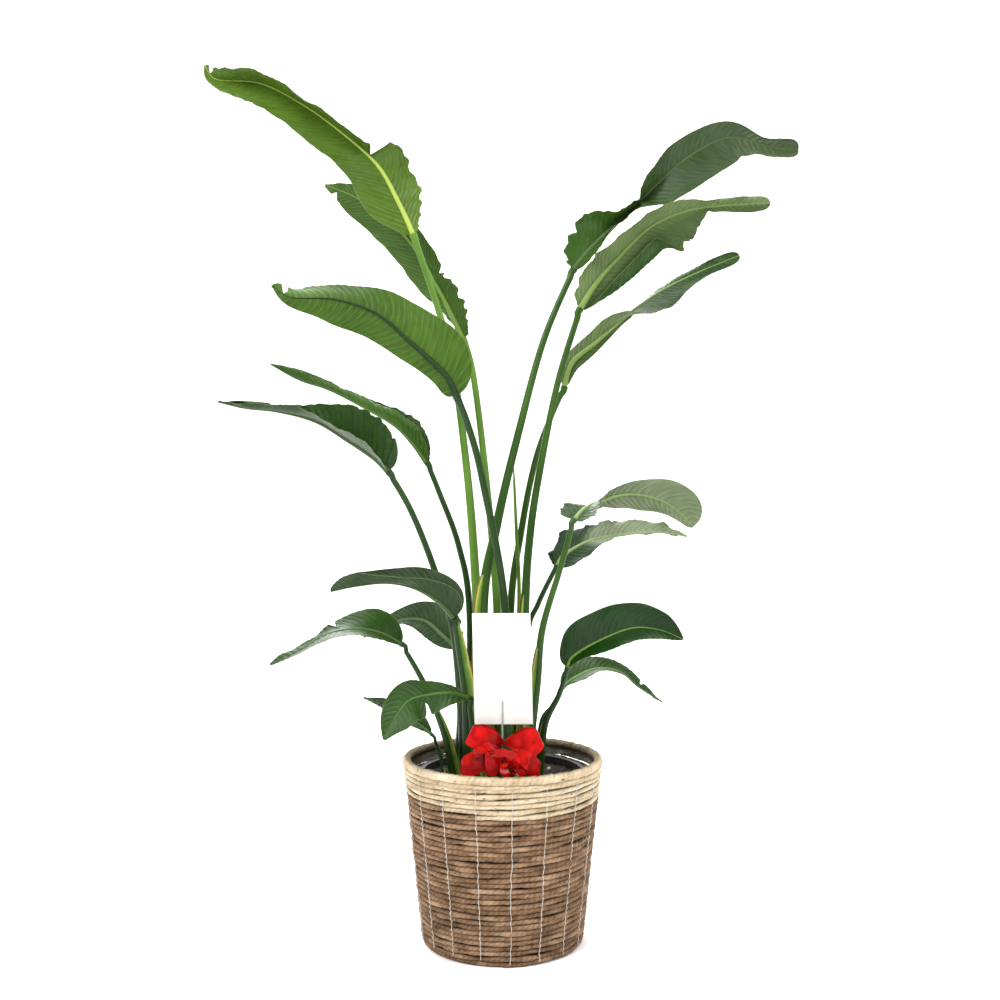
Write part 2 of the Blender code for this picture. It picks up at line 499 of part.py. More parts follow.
def add_pot():
    """The grower's pot with its rolled lip and drain holes, and the soil that fills it."""
    floor = POT_FOOT_HEIGHT + POT_WALL
    lip = POT_RIM_HEIGHT - 2 * POT_LIP
    pot = turned("nursery_pot", [
        (0, POT_FOOT_HEIGHT), (POT_FOOT_RADIUS, POT_FOOT_HEIGHT), (pot_radius(lip), lip),
        (POT_RIM_RADIUS, lip), (POT_RIM_RADIUS, POT_RIM_HEIGHT),
        (pot_radius(POT_RIM_HEIGHT) - POT_WALL, POT_RIM_HEIGHT),
        (pot_radius(floor) - POT_WALL, floor), (0, floor)], "pot")
    bm = bmesh.new()
    for hole in range(DRAIN_HOLES):
        angle = math.tau * (hole + 0.5) / DRAIN_HOLES
        made = bmesh.ops.create_cone(bm, cap_ends=True, segments=DRAIN_SEGMENTS,
                                     radius1=DRAIN_RADIUS, radius2=DRAIN_RADIUS, depth=6 * POT_WALL)
        place = (DRAIN_CIRCLE * math.cos(angle), DRAIN_CIRCLE * math.sin(angle), floor - POT_WALL / 2)
        bmesh.ops.translate(bm, verts=made["verts"], vec=place)
    cut = pot.modifiers.new("drain_holes", "BOOLEAN")
    cut.operation = "DIFFERENCE"
    cut.object = helper(add_mesh("drain_hole_tool", bm, "pot"))
    bottom = floor + GAP
    turned("soil", [
        (0, bottom), (pot_radius(bottom) - POT_WALL - GAP, bottom),
        (pot_radius(SOIL_TOP) - POT_WALL - GAP, SOIL_TOP), (0, SOIL_TOP)], "soil")


def add_card():
    """The bare card, and the flat clear stick whose forked top holds the card's lower edge."""
    bm = bmesh.new()
    bmesh.ops.create_cube(bm, size=1)
    bmesh.ops.scale(bm, vec=(CARD_WIDTH, CARD_THICKNESS, CARD_HEIGHT), verts=bm.verts)
    middle = Vector((0, CARD_FRONT + CARD_THICKNESS / 2, CARD_BOTTOM + CARD_HEIGHT / 2))
    for vert in bm.verts:
        vert.co.x += -vert.co.z * math.tan(CARD_LEAN)
    bmesh.ops.translate(bm, verts=bm.verts, vec=middle)
    add_mesh("gift_card", bm, "card")

    front = CARD_FRONT - GAP
    back = CARD_FRONT + CARD_THICKNESS + GAP
    seat = CARD_BOTTOM - GAP
    outline = [(front - STICK / 2, SOIL_TOP + GAP), (back + STICK / 2, SOIL_TOP + GAP),
               (back + STICK / 2, CARD_BOTTOM + CLIP_HEIGHT), (back, CARD_BOTTOM + CLIP_HEIGHT),
               (back, seat), (front, seat), (front, CARD_BOTTOM + CLIP_HEIGHT),
               (front - STICK / 2, CARD_BOTTOM + CLIP_HEIGHT)]
    bm = bmesh.new()
    side = bm.faces.new([bm.verts.new((-STICK / 2, y, z)) for y, z in outline])
    grown = bmesh.ops.extrude_face_region(bm, geom=[side])
    verts = [item for item in grown["geom"] if isinstance(item, bmesh.types.BMVert)]
    bmesh.ops.translate(bm, verts=verts, vec=(STICK, 0, 0))
    bmesh.ops.triangulate(bm, faces=bm.faces[:])
    add_mesh("card_stick", bm, "clear_plastic")


def helper(made):
    """Mark an object as a tool of a Boolean, not a piece."""
    made.hide_render = True
    made.display_type = "WIRE"
    return made


def add_ribbon_loop(number, degrees, length, middle):
    """One loop of the bow: the ribbon runs out in front, turns at its end and comes back behind."""
    bm = bmesh.new()
    bmesh.ops.create_grid(bm, x_segments=LOOP_ALONG, y_segments=2, size=1)
    out = Vector((math.cos(math.radians(degrees)), 0, math.sin(math.radians(degrees))))
    across = Vector((-out.z, 0, out.x))
    for vert in bm.verts:
        t = (vert.co.x + 1) / 2
        far = (1 - math.cos(math.tau * t)) / 2
        depth = -LOOP_DEPTH * math.sin(math.tau * t) - 2 * RIBBON_THICKNESS * math.cos(math.pi * t)
        width = RIBBON * (RIBBON_PINCH + (1 - RIBBON_PINCH) * far) / 2
        vert.co = middle + out * (length * far) + across * (width * vert.co.y) + Vector((0, depth, 0))
    bm.normal_update()
    bmesh.ops.solidify(bm, geom=bm.faces[:], thickness=RIBBON_THICKNESS)
    return helper(add_mesh(f"bow_loop_tool_{number}", bm, "ribbon"))


def add_bow():
    """The bow: one ribbon, its small inner loops as a round heart and its four big loops joined to it."""
    back = CARD_FRONT - GAP - STICK / 2 - GAP
    middle = Vector((0, back - BOW_HEART_DEPTH / 2, BOW_HEIGHT))
    bm = bmesh.new()
    bmesh.ops.create_cone(bm, cap_ends=True, segments=BOW_HEART_SEGMENTS, radius1=BOW_HEART_RADIUS,
                          radius2=BOW_HEART_RADIUS * 0.7, depth=BOW_HEART_DEPTH)
    bmesh.ops.rotate(bm, verts=bm.verts, cent=(0, 0, 0), matrix=Matrix.Rotation(math.pi / 2, 3, "X"))
    bmesh.ops.translate(bm, verts=bm.verts, vec=middle)
    bow = add_mesh("ribbon_bow", bm, "ribbon")
    for number, (degrees, length) in enumerate(BOW_LOOPS):
        join = bow.modifiers.new(f"loop_{number}", "BOOLEAN")
        join.operation = "UNION"
        join.object = add_ribbon_loop(number, degrees, length, middle)


for old in list(bpy.data.objects):
    bpy.data.objects.remove(old)
add_basket()
add_liner()
add_pot()
add_card()
add_bow()
add_leaves()
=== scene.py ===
"""White bird of paradise in its grower's pot, standing in a coiled rope basket, with a gift card and a bow.

Metres, +Z up, front towards -Y, with the basket's underside on the floor at the origin.
"""

import math
import random

import bmesh
import bpy
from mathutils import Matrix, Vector, noise


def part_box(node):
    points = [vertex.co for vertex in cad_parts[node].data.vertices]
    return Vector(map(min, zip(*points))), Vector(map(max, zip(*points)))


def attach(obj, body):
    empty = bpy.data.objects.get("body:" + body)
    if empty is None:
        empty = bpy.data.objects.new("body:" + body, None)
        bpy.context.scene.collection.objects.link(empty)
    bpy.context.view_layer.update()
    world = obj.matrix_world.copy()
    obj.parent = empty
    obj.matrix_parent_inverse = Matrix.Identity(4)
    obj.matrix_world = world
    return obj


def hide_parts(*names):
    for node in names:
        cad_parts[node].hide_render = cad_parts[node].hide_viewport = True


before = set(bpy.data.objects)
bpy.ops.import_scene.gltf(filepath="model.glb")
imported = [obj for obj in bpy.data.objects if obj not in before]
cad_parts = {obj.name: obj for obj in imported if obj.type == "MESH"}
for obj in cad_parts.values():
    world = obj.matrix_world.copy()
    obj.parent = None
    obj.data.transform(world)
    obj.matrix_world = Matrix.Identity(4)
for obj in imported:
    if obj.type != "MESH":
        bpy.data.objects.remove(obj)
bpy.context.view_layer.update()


# Studio
# A pale floor that sweeps up behind into a wall, lit by large soft lamps and a bright room,
# seen by a camera that stands level, in front, at a little under half the plant's height.
SWEEP_RADIUS = 1.2
SWEEP_STEPS = 16
FLOOR_FRONT = -7.0
FLOOR_BACK = 3.2
FLOOR_HALF_WIDTH = 9.0
WALL_HEIGHT = 6.0
CAMERA_PLACE = (0, -2.1, 0.785)
CAMERA_LENS = 42
CAMERA_SHIFT = -0.0025
ROOM_BRIGHTNESS = 0.48
LAMPS = (
    # place, what it looks at, size, power
    ((-1.7, -2.0, 2.9), (0, 0, 0.9), 1.5, 115),
    ((2.4, -1.2, 2.0), (0, 0, 0.7), 1.5, 50),
    ((-0.6, 1.9, 2.7), (0, 0, 1.0), 2.0, 90),
    ((0.0, 0.8, 5.0), (0, 4.4, 1.0), 4.0, 330),
)

bm = bmesh.new()
sweep = [bm.verts.new((-FLOOR_HALF_WIDTH, FLOOR_FRONT, 0))]
for step in range(SWEEP_STEPS + 1):
    turn = math.pi / 2 * step / SWEEP_STEPS
    sweep.append(bm.verts.new((-FLOOR_HALF_WIDTH, FLOOR_BACK + SWEEP_RADIUS * math.sin(turn),
                               SWEEP_RADIUS * (1 - math.cos(turn)))))
sweep.append(bm.verts.new((-FLOOR_HALF_WIDTH, FLOOR_BACK + SWEEP_RADIUS, WALL_HEIGHT)))
edges = [bm.edges.new(pair) for pair in zip(sweep, sweep[1:])]
grown = bmesh.ops.extrude_edge_only(bm, edges=edges)["geom"]
bmesh.ops.translate(bm, vec=(2 * FLOOR_HALF_WIDTH, 0, 0),
                    verts=[item for item in grown if isinstance(item, bmesh.types.BMVert)])
bmesh.ops.recalc_face_normals(bm, faces=bm.faces)
mesh = bpy.data.meshes.new("studio_floor")
bm.to_mesh(mesh)
bm.free()
mesh.shade_smooth()
studio_floor = bpy.data.objects.new("studio_floor", mesh)
bpy.context.scene.collection.objects.link(studio_floor)
paper = bpy.data.materials.new("studio_paper")
paper.use_nodes = True
paper.node_tree.nodes["Principled BSDF"].inputs["Base Color"].default_value = (0.93, 0.93, 0.925, 1)
paper.node_tree.nodes["Principled BSDF"].inputs["Roughness"].default_value = 0.9
mesh.materials.append(paper)

room = bpy.data.worlds.new("bright_room")
bpy.context.scene.world = room
room.use_nodes = True
room.node_tree.nodes["Background"].inputs["Color"].default_value = (1.0, 1.0, 1.0, 1)
room.node_tree.nodes["Background"].inputs["Strength"].default_value = ROOM_BRIGHTNESS
bpy.context.scene.view_settings.view_transform = "Standard"

for number, (place, target, size, power) in enumerate(LAMPS):
    lamp = bpy.data.lights.new(f"softbox_{number}", "AREA")
    lamp.shape = "SQUARE"
    lamp.size = size
    lamp.energy = power
    softbox = bpy.data.objects.new(f"softbox_{number}", lamp)
    softbox.location = place
    softbox.rotation_euler = (Vector(target) - Vector(place)).to_track_quat("-Z", "Y").to_euler()
    bpy.context.scene.collection.objects.link(softbox)

camera = bpy.data.objects.new("camera", bpy.data.cameras.new("camera"))
camera.location = CAMERA_PLACE
camera.rotation_euler = (math.radians(90), 0, 0)
camera.data.lens = CAMERA_LENS
camera.data.shift_x = CAMERA_SHIFT
bpy.context.scene.collection.objects.link(camera)
bpy.context.scene.camera = camera


# Basket wall, brown part
# Two ropes of twisted bark, laid side by side and coiled upwards together on a flat spiral floor.
# Each rope is rolled from short strips of bark, so its colour and its thickness change along the way.
_, rim_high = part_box("basket_cream_rope")
BASKET_HEIGHT = rim_high.z
RIM_RADIUS = rim_high.x
FOOT_RADIUS = 0.1446
RIM_ROPE = 0.016                # thickness of the rope round the rim
ROPE_PITCH = 0.00906            # height of one row
ROPE_RADIUS = 0.0047
ROPE_SIDES = 10
STEPS_PER_TURN = 305
TWISTS_PER_TURN = 100
TWIST_DEPTH = 0.035             # grooves between the strands, as a share of the rope's radius
DENTS_PER_TURN = 60
DENT_DEPTH = 0.10
ROPE_STRAY = 0.0014             # how far a rope strays in and out
ROW_STRAY = 0.0026              # how far it strays up and down
ROPE_RELIEF = 0.0026            # height of the fibres on it
ROPE_SHIFT = 31.7               # keeps the pattern of the second rope unlike that of the first
BROWN_LUMPS = 0.30
FLOOR_STEPS_PER_TURN = 70
FLOOR_SIDES = 8
BROWN_FIRST = (0.0, -0.5)       # where each of the two ropes starts and ends, in turns from the front
BROWN_LAST = (13.960, 13.903)
FOOT_RING_INSET = 0.0015
FOOT_RING_STEPS = 220
FOOT_RING_LUMPS = 0.05
RING_WRAPS = 34
SHARP_ANGLE = 0.9               # radians between two faces above which their edge stays crisp
MERGE = 0.0000005               # corners nearer than this are one
# Dark, middle and light colour of the bark
BARK = ((0.075, 0.040, 0.020), (0.255, 0.145, 0.078), (0.52, 0.345, 0.210))
BARK_SEAMS = (0.58, 0.70)


class Wire:
    """What one output of a material's node carries. Sums and products of wires add the Math nodes."""

    def __init__(self, finish, socket):
        self.finish = finish
        self.socket = socket

    def math(self, operation, *values):
        return self.finish.node("Math", {"operation": operation}, dict(enumerate(values)))

    def wave(self):
        """A smooth wave from 0 to 1 that comes round again each time this wire grows by 1."""
        angle = self * math.tau
        return self.math("COSINE", angle) * 0.5 + 0.5

    def __add__(self, other):
        return self.math("ADD", self, other)

    def __sub__(self, other):
        return self.math("SUBTRACT", self, other)

    def __rsub__(self, other):
        return self.math("SUBTRACT", other, self)

    def __mul__(self, other):
        return self.math("MULTIPLY", self, other)

    def __pow__(self, other):
        return self.math("POWER", self, other)

    __radd__ = __add__
    __rmul__ = __mul__


def socket_name(key):
    """The name of a shader's input, from its name written as a keyword."""
    return key.replace("_", " ").title().replace("Ior", "IOR")


class Finish:
    """A material under construction: its shader, and the nodes that feed it."""

    def __init__(self, name, **constants):
        self.material = bpy.data.materials.new(name)
        self.material.use_nodes = True
        self.tree = self.material.node_tree
        self.shader = self.tree.nodes["Principled BSDF"]
        self.feed(self.shader, {socket_name(key): value for key, value in constants.items()})

    def feed(self, node, inputs):
        """Set a node's inputs to values, or link wires to them."""
        for key, value in inputs.items():
            if isinstance(value, Wire):
                self.tree.links.new(value.socket, node.inputs[key])
            else:
                node.inputs[key].default_value = value

    def node(self, kind, settings, inputs, output=0):
        """Add a node with its settings and inputs, and return the wire from one of its outputs."""
        made = self.tree.nodes.new("ShaderNode" + kind)
        for key, value in settings.items():
            if key == "stops":
                ramp = made.color_ramp
                while len(ramp.elements) < len(value):
                    ramp.elements.new(0.5)
                for element, (place, colour) in zip(ramp.elements, value):
                    element.position = place
                    element.color = (*colour, 1)
            else:
                setattr(made, key, value)
        self.feed(made, inputs)
        return Wire(self, made.outputs[output])

    def place(self):
        """The wire of a point's place in the object's space."""
        return self.node("TexCoord", {}, {}, "Object")

    def along_across(self):
        """The two wires of the piece's own map: along it and across it."""
        both = self.node("UVMap", {"uv_map": "shape"}, {})
        return [self.node("SeparateXYZ", {}, {0: both}, side) for side in ("X", "Y")]

    def point(self, x, y, z=0.0):
        return self.node("CombineXYZ", {}, {0: x, 1: y, 2: z})

    def speckle(self, where, scale, detail=2.0, roughness=0.5):
        """Smooth noise from 0 to 1."""
        return self.node("TexNoise", {}, {"Vector": where, "Scale": scale, "Detail": detail,
                                          "Roughness": roughness})

    def stretch(self, value, low, high):
        """A value's share of the way from low to high, held between 0 and 1."""
        return self.node("MapRange", {}, {"Value": value, "From Min": low, "From Max": high})

    def blend(self, share, first, second):
        """A mix of two colours: the first where share is 0, the second where it is 1."""
        return self.node("Mix", {"data_type": "RGBA"}, {"Factor": share, 6: as_colour(first),
                                                        7: as_colour(second)}, 2)

    def paint(self, **inputs):
        """Feed the shader's inputs that change over the surface."""
        self.feed(self.shader, {socket_name(key): value for key, value in inputs.items()})

    def emboss(self, height, depth):
        """Let a height from 0 to 1 stand depth metres proud, as bumps."""
        self.paint(normal=self.node("Bump", {}, {"Strength": 1.0, "Distance": depth, "Height": height}))


def as_colour(value):
    """A colour of three numbers with its opacity added; a wire stays as it is."""
    return value if isinstance(value, Wire) else (*value, 1)


def add_grid(bm, columns, rows, place, lay, slot=0, closed=False, lift=None):
    """Add a grid of faces with its corners at place(u, v), mapped to lay(u, v), u and v from 0 to 1.

    lift(u, v) moves a corner along the surface's normal. A closed grid joins its first and last rows.
    """
    layer = bm.loops.layers.uv.get("shape") or bm.loops.layers.uv.new("shape")
    verts = bmesh.ops.create_grid(bm, x_segments=columns, y_segments=rows, size=1)["verts"]
    shares = {vert: ((vert.co.x + 1) / 2, (vert.co.y + 1) / 2) for vert in verts}
    faces = {face for vert in verts for face in vert.link_faces}
    for face in faces:
        face.material_index = slot
        for loop in face.loops:
            loop[layer].uv = lay(*shares[loop.vert])
    for vert, (u, v) in shares.items():
        vert.co = place(u, v)
    if lift:
        for face in faces:
            face.normal_update()
        for vert in verts:
            vert.normal_update()
        moves = [vert.normal * lift(*shares[vert]) for vert in verts]
        for vert, move in zip(verts, moves):
            vert.co += move
    if closed:
        bmesh.ops.remove_doubles(bm, verts=verts, dist=MERGE)


def thicken(bm, faces, thickness):
    """Give a sheet of faces a back and walls round its edge, and return those new faces."""
    bm.normal_update()
    before = set(bm.faces)
    grown = bmesh.ops.extrude_face_region(bm, geom=faces, use_keep_orig=True)["geom"]
    back = [item for item in grown if isinstance(item, bmesh.types.BMVert)]
    for vert in back:
        vert.normal_update()
    for vert, away in [(vert, vert.normal.copy()) for vert in back]:
        vert.co -= away * thickness
    return [face for face in bm.faces if face not in before]


def close_ends(bm):
    """Fill every open ring of edges."""
    bmesh.ops.holes_fill(bm, edges=[edge for edge in bm.edges if edge.is_boundary])


def add_piece(name, bm, finishes, nodes=()):
    """Turn a bmesh into a smooth named piece of the object, which stands for the nodes."""
    bmesh.ops.recalc_face_normals(bm, faces=bm.faces)
    mesh = bpy.data.meshes.new(name)
    bm.to_mesh(mesh)
    bm.free()
    mesh.shade_smooth()
    mesh.set_sharp_from_angle(angle=SHARP_ANGLE)
    for finish in finishes:
        mesh.materials.append(finish.material)
    piece = bpy.data.objects.new(name, mesh)
    bpy.context.scene.collection.objects.link(piece)
    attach(piece, "root")
    if nodes:
        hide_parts(*nodes)
    return piece


def coat_node(name, finish):
    """Give a solid of the frame its material."""
    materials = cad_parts[name].data.materials
    materials.clear()
    materials.append(finish.material)


def wall_radius(height):
    """Outer radius of the basket at a height."""
    return FOOT_RADIUS + (RIM_RADIUS - FOOT_RADIUS) * height / BASKET_HEIGHT


def around(radius, turn, height):
    """The point at a radius and a number of turns from the front, towards the right."""
    return Vector((radius * math.sin(math.tau * turn), -radius * math.cos(math.tau * turn), height))


def row_height(turn, rope):
    """Height of a rope's middle: it climbs two rows a turn, from the floor to under the rim."""
    height = ROPE_PITCH * (2 * turn + rope + 0.5)
    return min(max(height, ROPE_PITCH / 2), BASKET_HEIGHT - RIM_ROPE - ROPE_PITCH * 0.3)


def add_coil(bm, first, last, rope, lumps):
    """One rope of the wall from its first to its last turn, lumpy and a little out of line."""
    columns = round((last - first) * STEPS_PER_TURN)

    def place(u, v):
        turn = first + (last - first) * u
        height = row_height(turn, rope)
        radius = wall_radius(height) - ROPE_RADIUS
        where = around(radius, turn, height) * 22 + Vector((rope * 7.3, 0, turn * 9))
        angle = math.tau * v
        twist = math.tau * (2 * v + turn * TWISTS_PER_TURN)
        dents = noise.noise(Vector((math.cos(angle), math.sin(angle), turn * DENTS_PER_TURN)))
        swell = 0.93 + lumps * (noise.noise(where * 1.3) + 0.6 * noise.noise(where * 4.1))
        swell += TWIST_DEPTH * math.sin(twist) + DENT_DEPTH * dents
        out = radius + ROPE_STRAY * noise.noise(where) - ROPE_RADIUS * swell * math.cos(angle)
        up = height + ROW_STRAY * noise.noise(where * 0.6) + ROPE_RADIUS * 1.04 * swell * math.sin(angle)
        return around(out, turn, up)

    def lay(u, v):
        return first + (last - first) * u + ROPE_SHIFT * rope, v

    add_grid(bm, columns, ROPE_SIDES, place, lay, closed=True)


def add_spiral_floor(bm):
    """The basket's floor: the rope wound flat from the middle outwards."""
    turns = FOOT_RADIUS / (2 * ROPE_RADIUS) - 1

    def place(u, v):
        turn = 0.5 + u * (turns - 0.5)
        radius = turn * 2 * ROPE_RADIUS
        swell = ROPE_RADIUS * (1 + 0.06 * noise.noise(Vector((turn * 9, 0, 4))))
        height = ROPE_RADIUS + swell * 0.98 * math.sin(math.tau * v)
        return around(radius - swell * math.cos(math.tau * v), turn, height)

    columns = round(turns * FLOOR_STEPS_PER_TURN)
    add_grid(bm, columns, FLOOR_SIDES, place, lambda u, v: (u * turns * 0.5, v), closed=True)


def add_ring(bm, radius, height, thickness, columns, rows, lumps):
    """A closed ring of rope, bound round with a strip."""
    def place(u, v):
        angle = math.tau * v
        where = around(1, u, 0) * 6
        ripple = noise.noise(where * 2.2)
        ripple += 0.8 * noise.noise(where * 6 + Vector((0, 0, 4 * math.cos(angle))))
        wrap = (u * RING_WRAPS + v) % 1
        swell = thickness * (0.97 + lumps * (ripple + wrap))
        return around(radius - swell * math.cos(angle), u, height + swell * math.sin(angle))

    add_grid(bm, columns, rows, place, lambda u, v: (u * math.tau * radius, v), closed=True)
    bmesh.ops.remove_doubles(bm, verts=bm.verts, dist=MERGE)


def rope_finish(name, dark, middle, light, split):
    """Twisted bark or husk: strips of different shades, fibres that wind round the rope, dark seams."""
    finish = Finish(name, roughness=0.85, specular_ior_level=0.25)
    along, across = finish.along_across()
    strips = finish.speckle(finish.point(along * 19, across * 0.5), 1.0, 3.0, 0.55)
    winding = across * 2 + along * TWISTS_PER_TURN
    fibre_point = finish.point(along * 14, winding.wave() * 3, (winding + 0.25).wave() * 3)
    fibres = finish.speckle(fibre_point, 5.0, 5.0, 0.75)
    tone = strips * 0.62 + fibres * 0.38 + winding.wave() * 0.05
    colour = finish.node("ValToRGB", {"stops": ((0.36, dark), (0.52, middle), (0.68, light))}, {"Fac": tone})
    seams = finish.speckle(finish.point(along * 34, across * 2.5), 2.4, 4.0, 0.65)
    seams = finish.stretch(seams, *split)
    # Painted shade: the rope's top, bottom and inner side, in the grooves where it meets the rows above and
    # below, are painted towards a very dark brown; the seams are the strips' own dark splits.
    proud = finish.stretch(across.wave(), 0.45, 0.08)
    shade = (1 - seams * 0.8) * (proud * 0.75 + 0.25)
    deep = tuple(part * 0.16 for part in dark)
    finish.paint(base_color=finish.blend(shade, deep, colour))
    finish.emboss(fibres * 0.7 + winding.wave() * 0.3 - seams * 0.8, ROPE_RELIEF)
    return finish


brown_rope = rope_finish("twisted_brown_bark", *BARK, BARK_SEAMS)
bm = bmesh.new()
add_ring(bm, FOOT_RADIUS - ROPE_RADIUS - FOOT_RING_INSET, ROPE_RADIUS, ROPE_RADIUS, FOOT_RING_STEPS,
         ROPE_SIDES, FOOT_RING_LUMPS)
for rope in (0, 1):
    add_coil(bm, BROWN_FIRST[rope], BROWN_LAST[rope], rope, BROWN_LUMPS)
add_spiral_floor(bm)
close_ends(bm)
add_piece("basket_brown_coil", bm, [brown_rope], ["basket_brown_rope"])


# Loose fibres of the brown rope
# Short ends of bark that have worked loose from the strips and stand off the wall,
# lying more or less along the rope they come from.
FRAY_COUNT = 700
FRAY_LOWEST = 0.006
CREAM_HEIGHT = 0.075            # height of the cream part, which is smooth and has none
FRAY_LENGTH = (0.003, 0.012)
FRAY_LEAN = 0.8                 # most that one turns off the level, in radians
FRAY_STAND = (0.0006, 0.0026)   # how far one stands off the wall
FRAY_BREADTH = (0.0003, 0.0009)
FRAY_THICKNESS = 0.0002
FRAY_ROOT = 0.0008              # depth at which one starts

draw = random.Random(11)
bm = bmesh.new()
for _ in range(FRAY_COUNT):
    turn = draw.random()
    height = draw.uniform(FRAY_LOWEST, BASKET_HEIGHT - CREAM_HEIGHT)
    length = draw.uniform(*FRAY_LENGTH)
    lean = draw.uniform(-FRAY_LEAN, FRAY_LEAN)
    stand = draw.uniform(*FRAY_STAND)
    breadth = draw.uniform(*FRAY_BREADTH)
    start = wall_radius(height) - FRAY_ROOT

    def place(u, v):
        reach = start + stand * math.sin(u * 1.9)
        drift = length * u * math.cos(lean) / start / math.tau
        rise = length * u * math.sin(lean) + breadth * (1 - u) * (v - 0.5)
        return around(reach, turn + drift, height + rise)

    add_grid(bm, 3, 1, place, lambda u, v: (turn * 6 + u * length, 0.5 + 0.2 * v))
thicken(bm, bm.faces[:], FRAY_THICKNESS)
add_piece("basket_loose_fibres", bm, [brown_rope])


# Basket wall, cream part, and its rim
# The same two ropes go on in pale corn husk, and a thicker rope of husk is bound round the top.
# The husk is smooth and straw-coloured, with short dark splits where its strips meet.
CREAM_LAST = (17.26, 16.76)     # where the two ropes end, in turns from the front
CREAM_LUMPS = 0.20
JOIN_GAP = 0.0006               # between the ends of the brown and the cream rope, in turns
RIM_STEPS = 900
RIM_SIDES = 24
RIM_LUMPS = 0.15
RIM_RING_RADIUS = RIM_ROPE / 2
HUSK = ((0.42, 0.285, 0.155), (0.70, 0.555, 0.36), (0.84, 0.73, 0.54))
HUSK_SEAMS = (0.60, 0.70)

cream_rope = rope_finish("pale_corn_husk", *HUSK, HUSK_SEAMS)
bm = bmesh.new()
for rope in (0, 1):
    add_coil(bm, BROWN_LAST[rope] + JOIN_GAP, CREAM_LAST[rope], rope, CREAM_LUMPS)
add_ring(bm, RIM_RADIUS - RIM_RING_RADIUS, BASKET_HEIGHT - RIM_RING_RADIUS, RIM_RING_RADIUS * 0.90, RIM_STEPS,
         RIM_SIDES, RIM_LUMPS)
close_ends(bm)
add_piece("basket_cream_coil", bm, [cream_rope], ["basket_cream_rope"])


# Stitching
# Eighteen runs of thin white cord sew each row to the one below, from the floor up to the rim.
# The cord lies over each rope and dips into the groove below it.
STITCH_RUNS = 18
STITCH_FIRST = -0.152           # turns from the front
STITCH_RADIUS = 0.00065
STITCH_SIDES = 5
STITCH_STEPS = 6                # points for each row
STITCH_ROWS = 33
STITCH_STAND = 0.0001           # how far the cord's middle lies outside the ropes
STITCH_DIP = 0.0024             # how far it dips between two rows


def frames_along(points):
    """Each point of a path with two directions square to it, turned as little as possible on the way."""
    last = len(points) - 1
    side = Vector((0.31, 0.17, 0.93))
    result = []
    for index, point in enumerate(points):
        ahead = (points[min(index + 1, last)] - points[max(index - 1, 0)]).normalized()
        side = (side - ahead * side.dot(ahead)).normalized()
        result.append((point, side, ahead.cross(side)))
    return result


def add_tube(bm, points, sides, radius, lay, slot=0):
    """A closed tube along points. radius(u, out) is its radius at u along it in the direction out."""
    rings = frames_along(points)
    last = len(rings) - 1

    def place(u, v):
        centre, side, other = rings[round(u * last)]
        out = side * math.cos(math.tau * v) + other * math.sin(math.tau * v)
        return centre + out * radius(u, out)

    add_grid(bm, last, sides, place, lay, slot, closed=True)


bm = bmesh.new()
for run in range(STITCH_RUNS):
    turn = STITCH_FIRST + run / STITCH_RUNS
    first_row = ROPE_PITCH * (2 * (turn % 1) % 1 + 0.5)
    points = []
    for step in range(STITCH_ROWS * STITCH_STEPS):
        height = first_row + ROPE_PITCH * step / STITCH_STEPS
        crest = abs(math.cos(math.pi * step / STITCH_STEPS))
        out = wall_radius(height) + STITCH_STAND - STITCH_DIP * (1 - crest) ** 1.4
        stray = 0.0016 * noise.noise(Vector((run * 5.1, height * 90, 0)))
        stray += 0.004 * noise.noise(Vector((run * 3.7, height * 9, 5)))
        points.append(around(out, turn + stray, height))
    add_tube(bm, points, STITCH_SIDES, lambda u, out: STITCH_RADIUS, lambda u, v: (u, v))
close_ends(bm)
cord = Finish("white_cord", roughness=0.7)
along, across = cord.along_across()
twist = (along * 400 + across).wave()
dust = cord.speckle(cord.place(), 60)
cord.paint(base_color=cord.blend(twist * 0.3 + dust * 0.5, (0.80, 0.79, 0.75), (0.48, 0.45, 0.40)))
cord.emboss(twist, 0.0003)
add_piece("basket_stitching", bm, [cord])


# Liner
# A bag of thin clear film inside the basket, creased all over, its edge hanging just below the rim.
# It keeps water off the rope, and lies loosely against it.
film_low, film_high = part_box("liner_film")
FILM_OFF_ROPE = 0.0012
FILM_CREASE = 0.0019            # how deep its creases are
FILM_HEM = 0.0035               # how far its upper edge goes up and down
FILM_OFF_FLOOR = 0.004
FILM_COLUMNS = 300
FILM_ROWS = 60

film = Finish("clear_film", roughness=0.10, specular_ior_level=0.9)
creases = film.speckle(film.place(), 34, 4.0, 0.65)
folds = film.stretch(creases, 0.44, 0.70)
film.paint(base_color=film.blend(folds, (0.55, 0.56, 0.54), (0.95, 0.95, 0.94)), alpha=folds * 0.30 + 0.03)
film.emboss(creases, 0.004)


def film_point(u, v):
    """The point of the film at u round it and v up it, its bottom drawn together in the middle."""
    lowest = film_low.z + FILM_OFF_FLOOR
    height = lowest + (film_high.z - lowest) * v
    if v == 0:
        return Vector((0, 0, height))
    where = around(1, u, 0)
    edge = FILM_HEM * noise.noise(where * 7) * v**8
    crease = noise.noise(where * 9 + Vector((0, 0, height * 22)))
    crease += 0.5 * noise.noise(where * 23 + Vector((0, 0, height * 60)))
    inside = wall_radius(height) - 2 * ROPE_RADIUS - FILM_OFF_ROPE - FILM_CREASE * (1 + crease)
    return around(inside, u, height + edge)


bm = bmesh.new()
add_grid(bm, FILM_COLUMNS, FILM_ROWS, film_point, lambda u, v: (u, v))
bmesh.ops.remove_doubles(bm, verts=bm.verts, dist=MERGE)
add_piece("liner_creased_film", bm, [film], ["liner_film"])


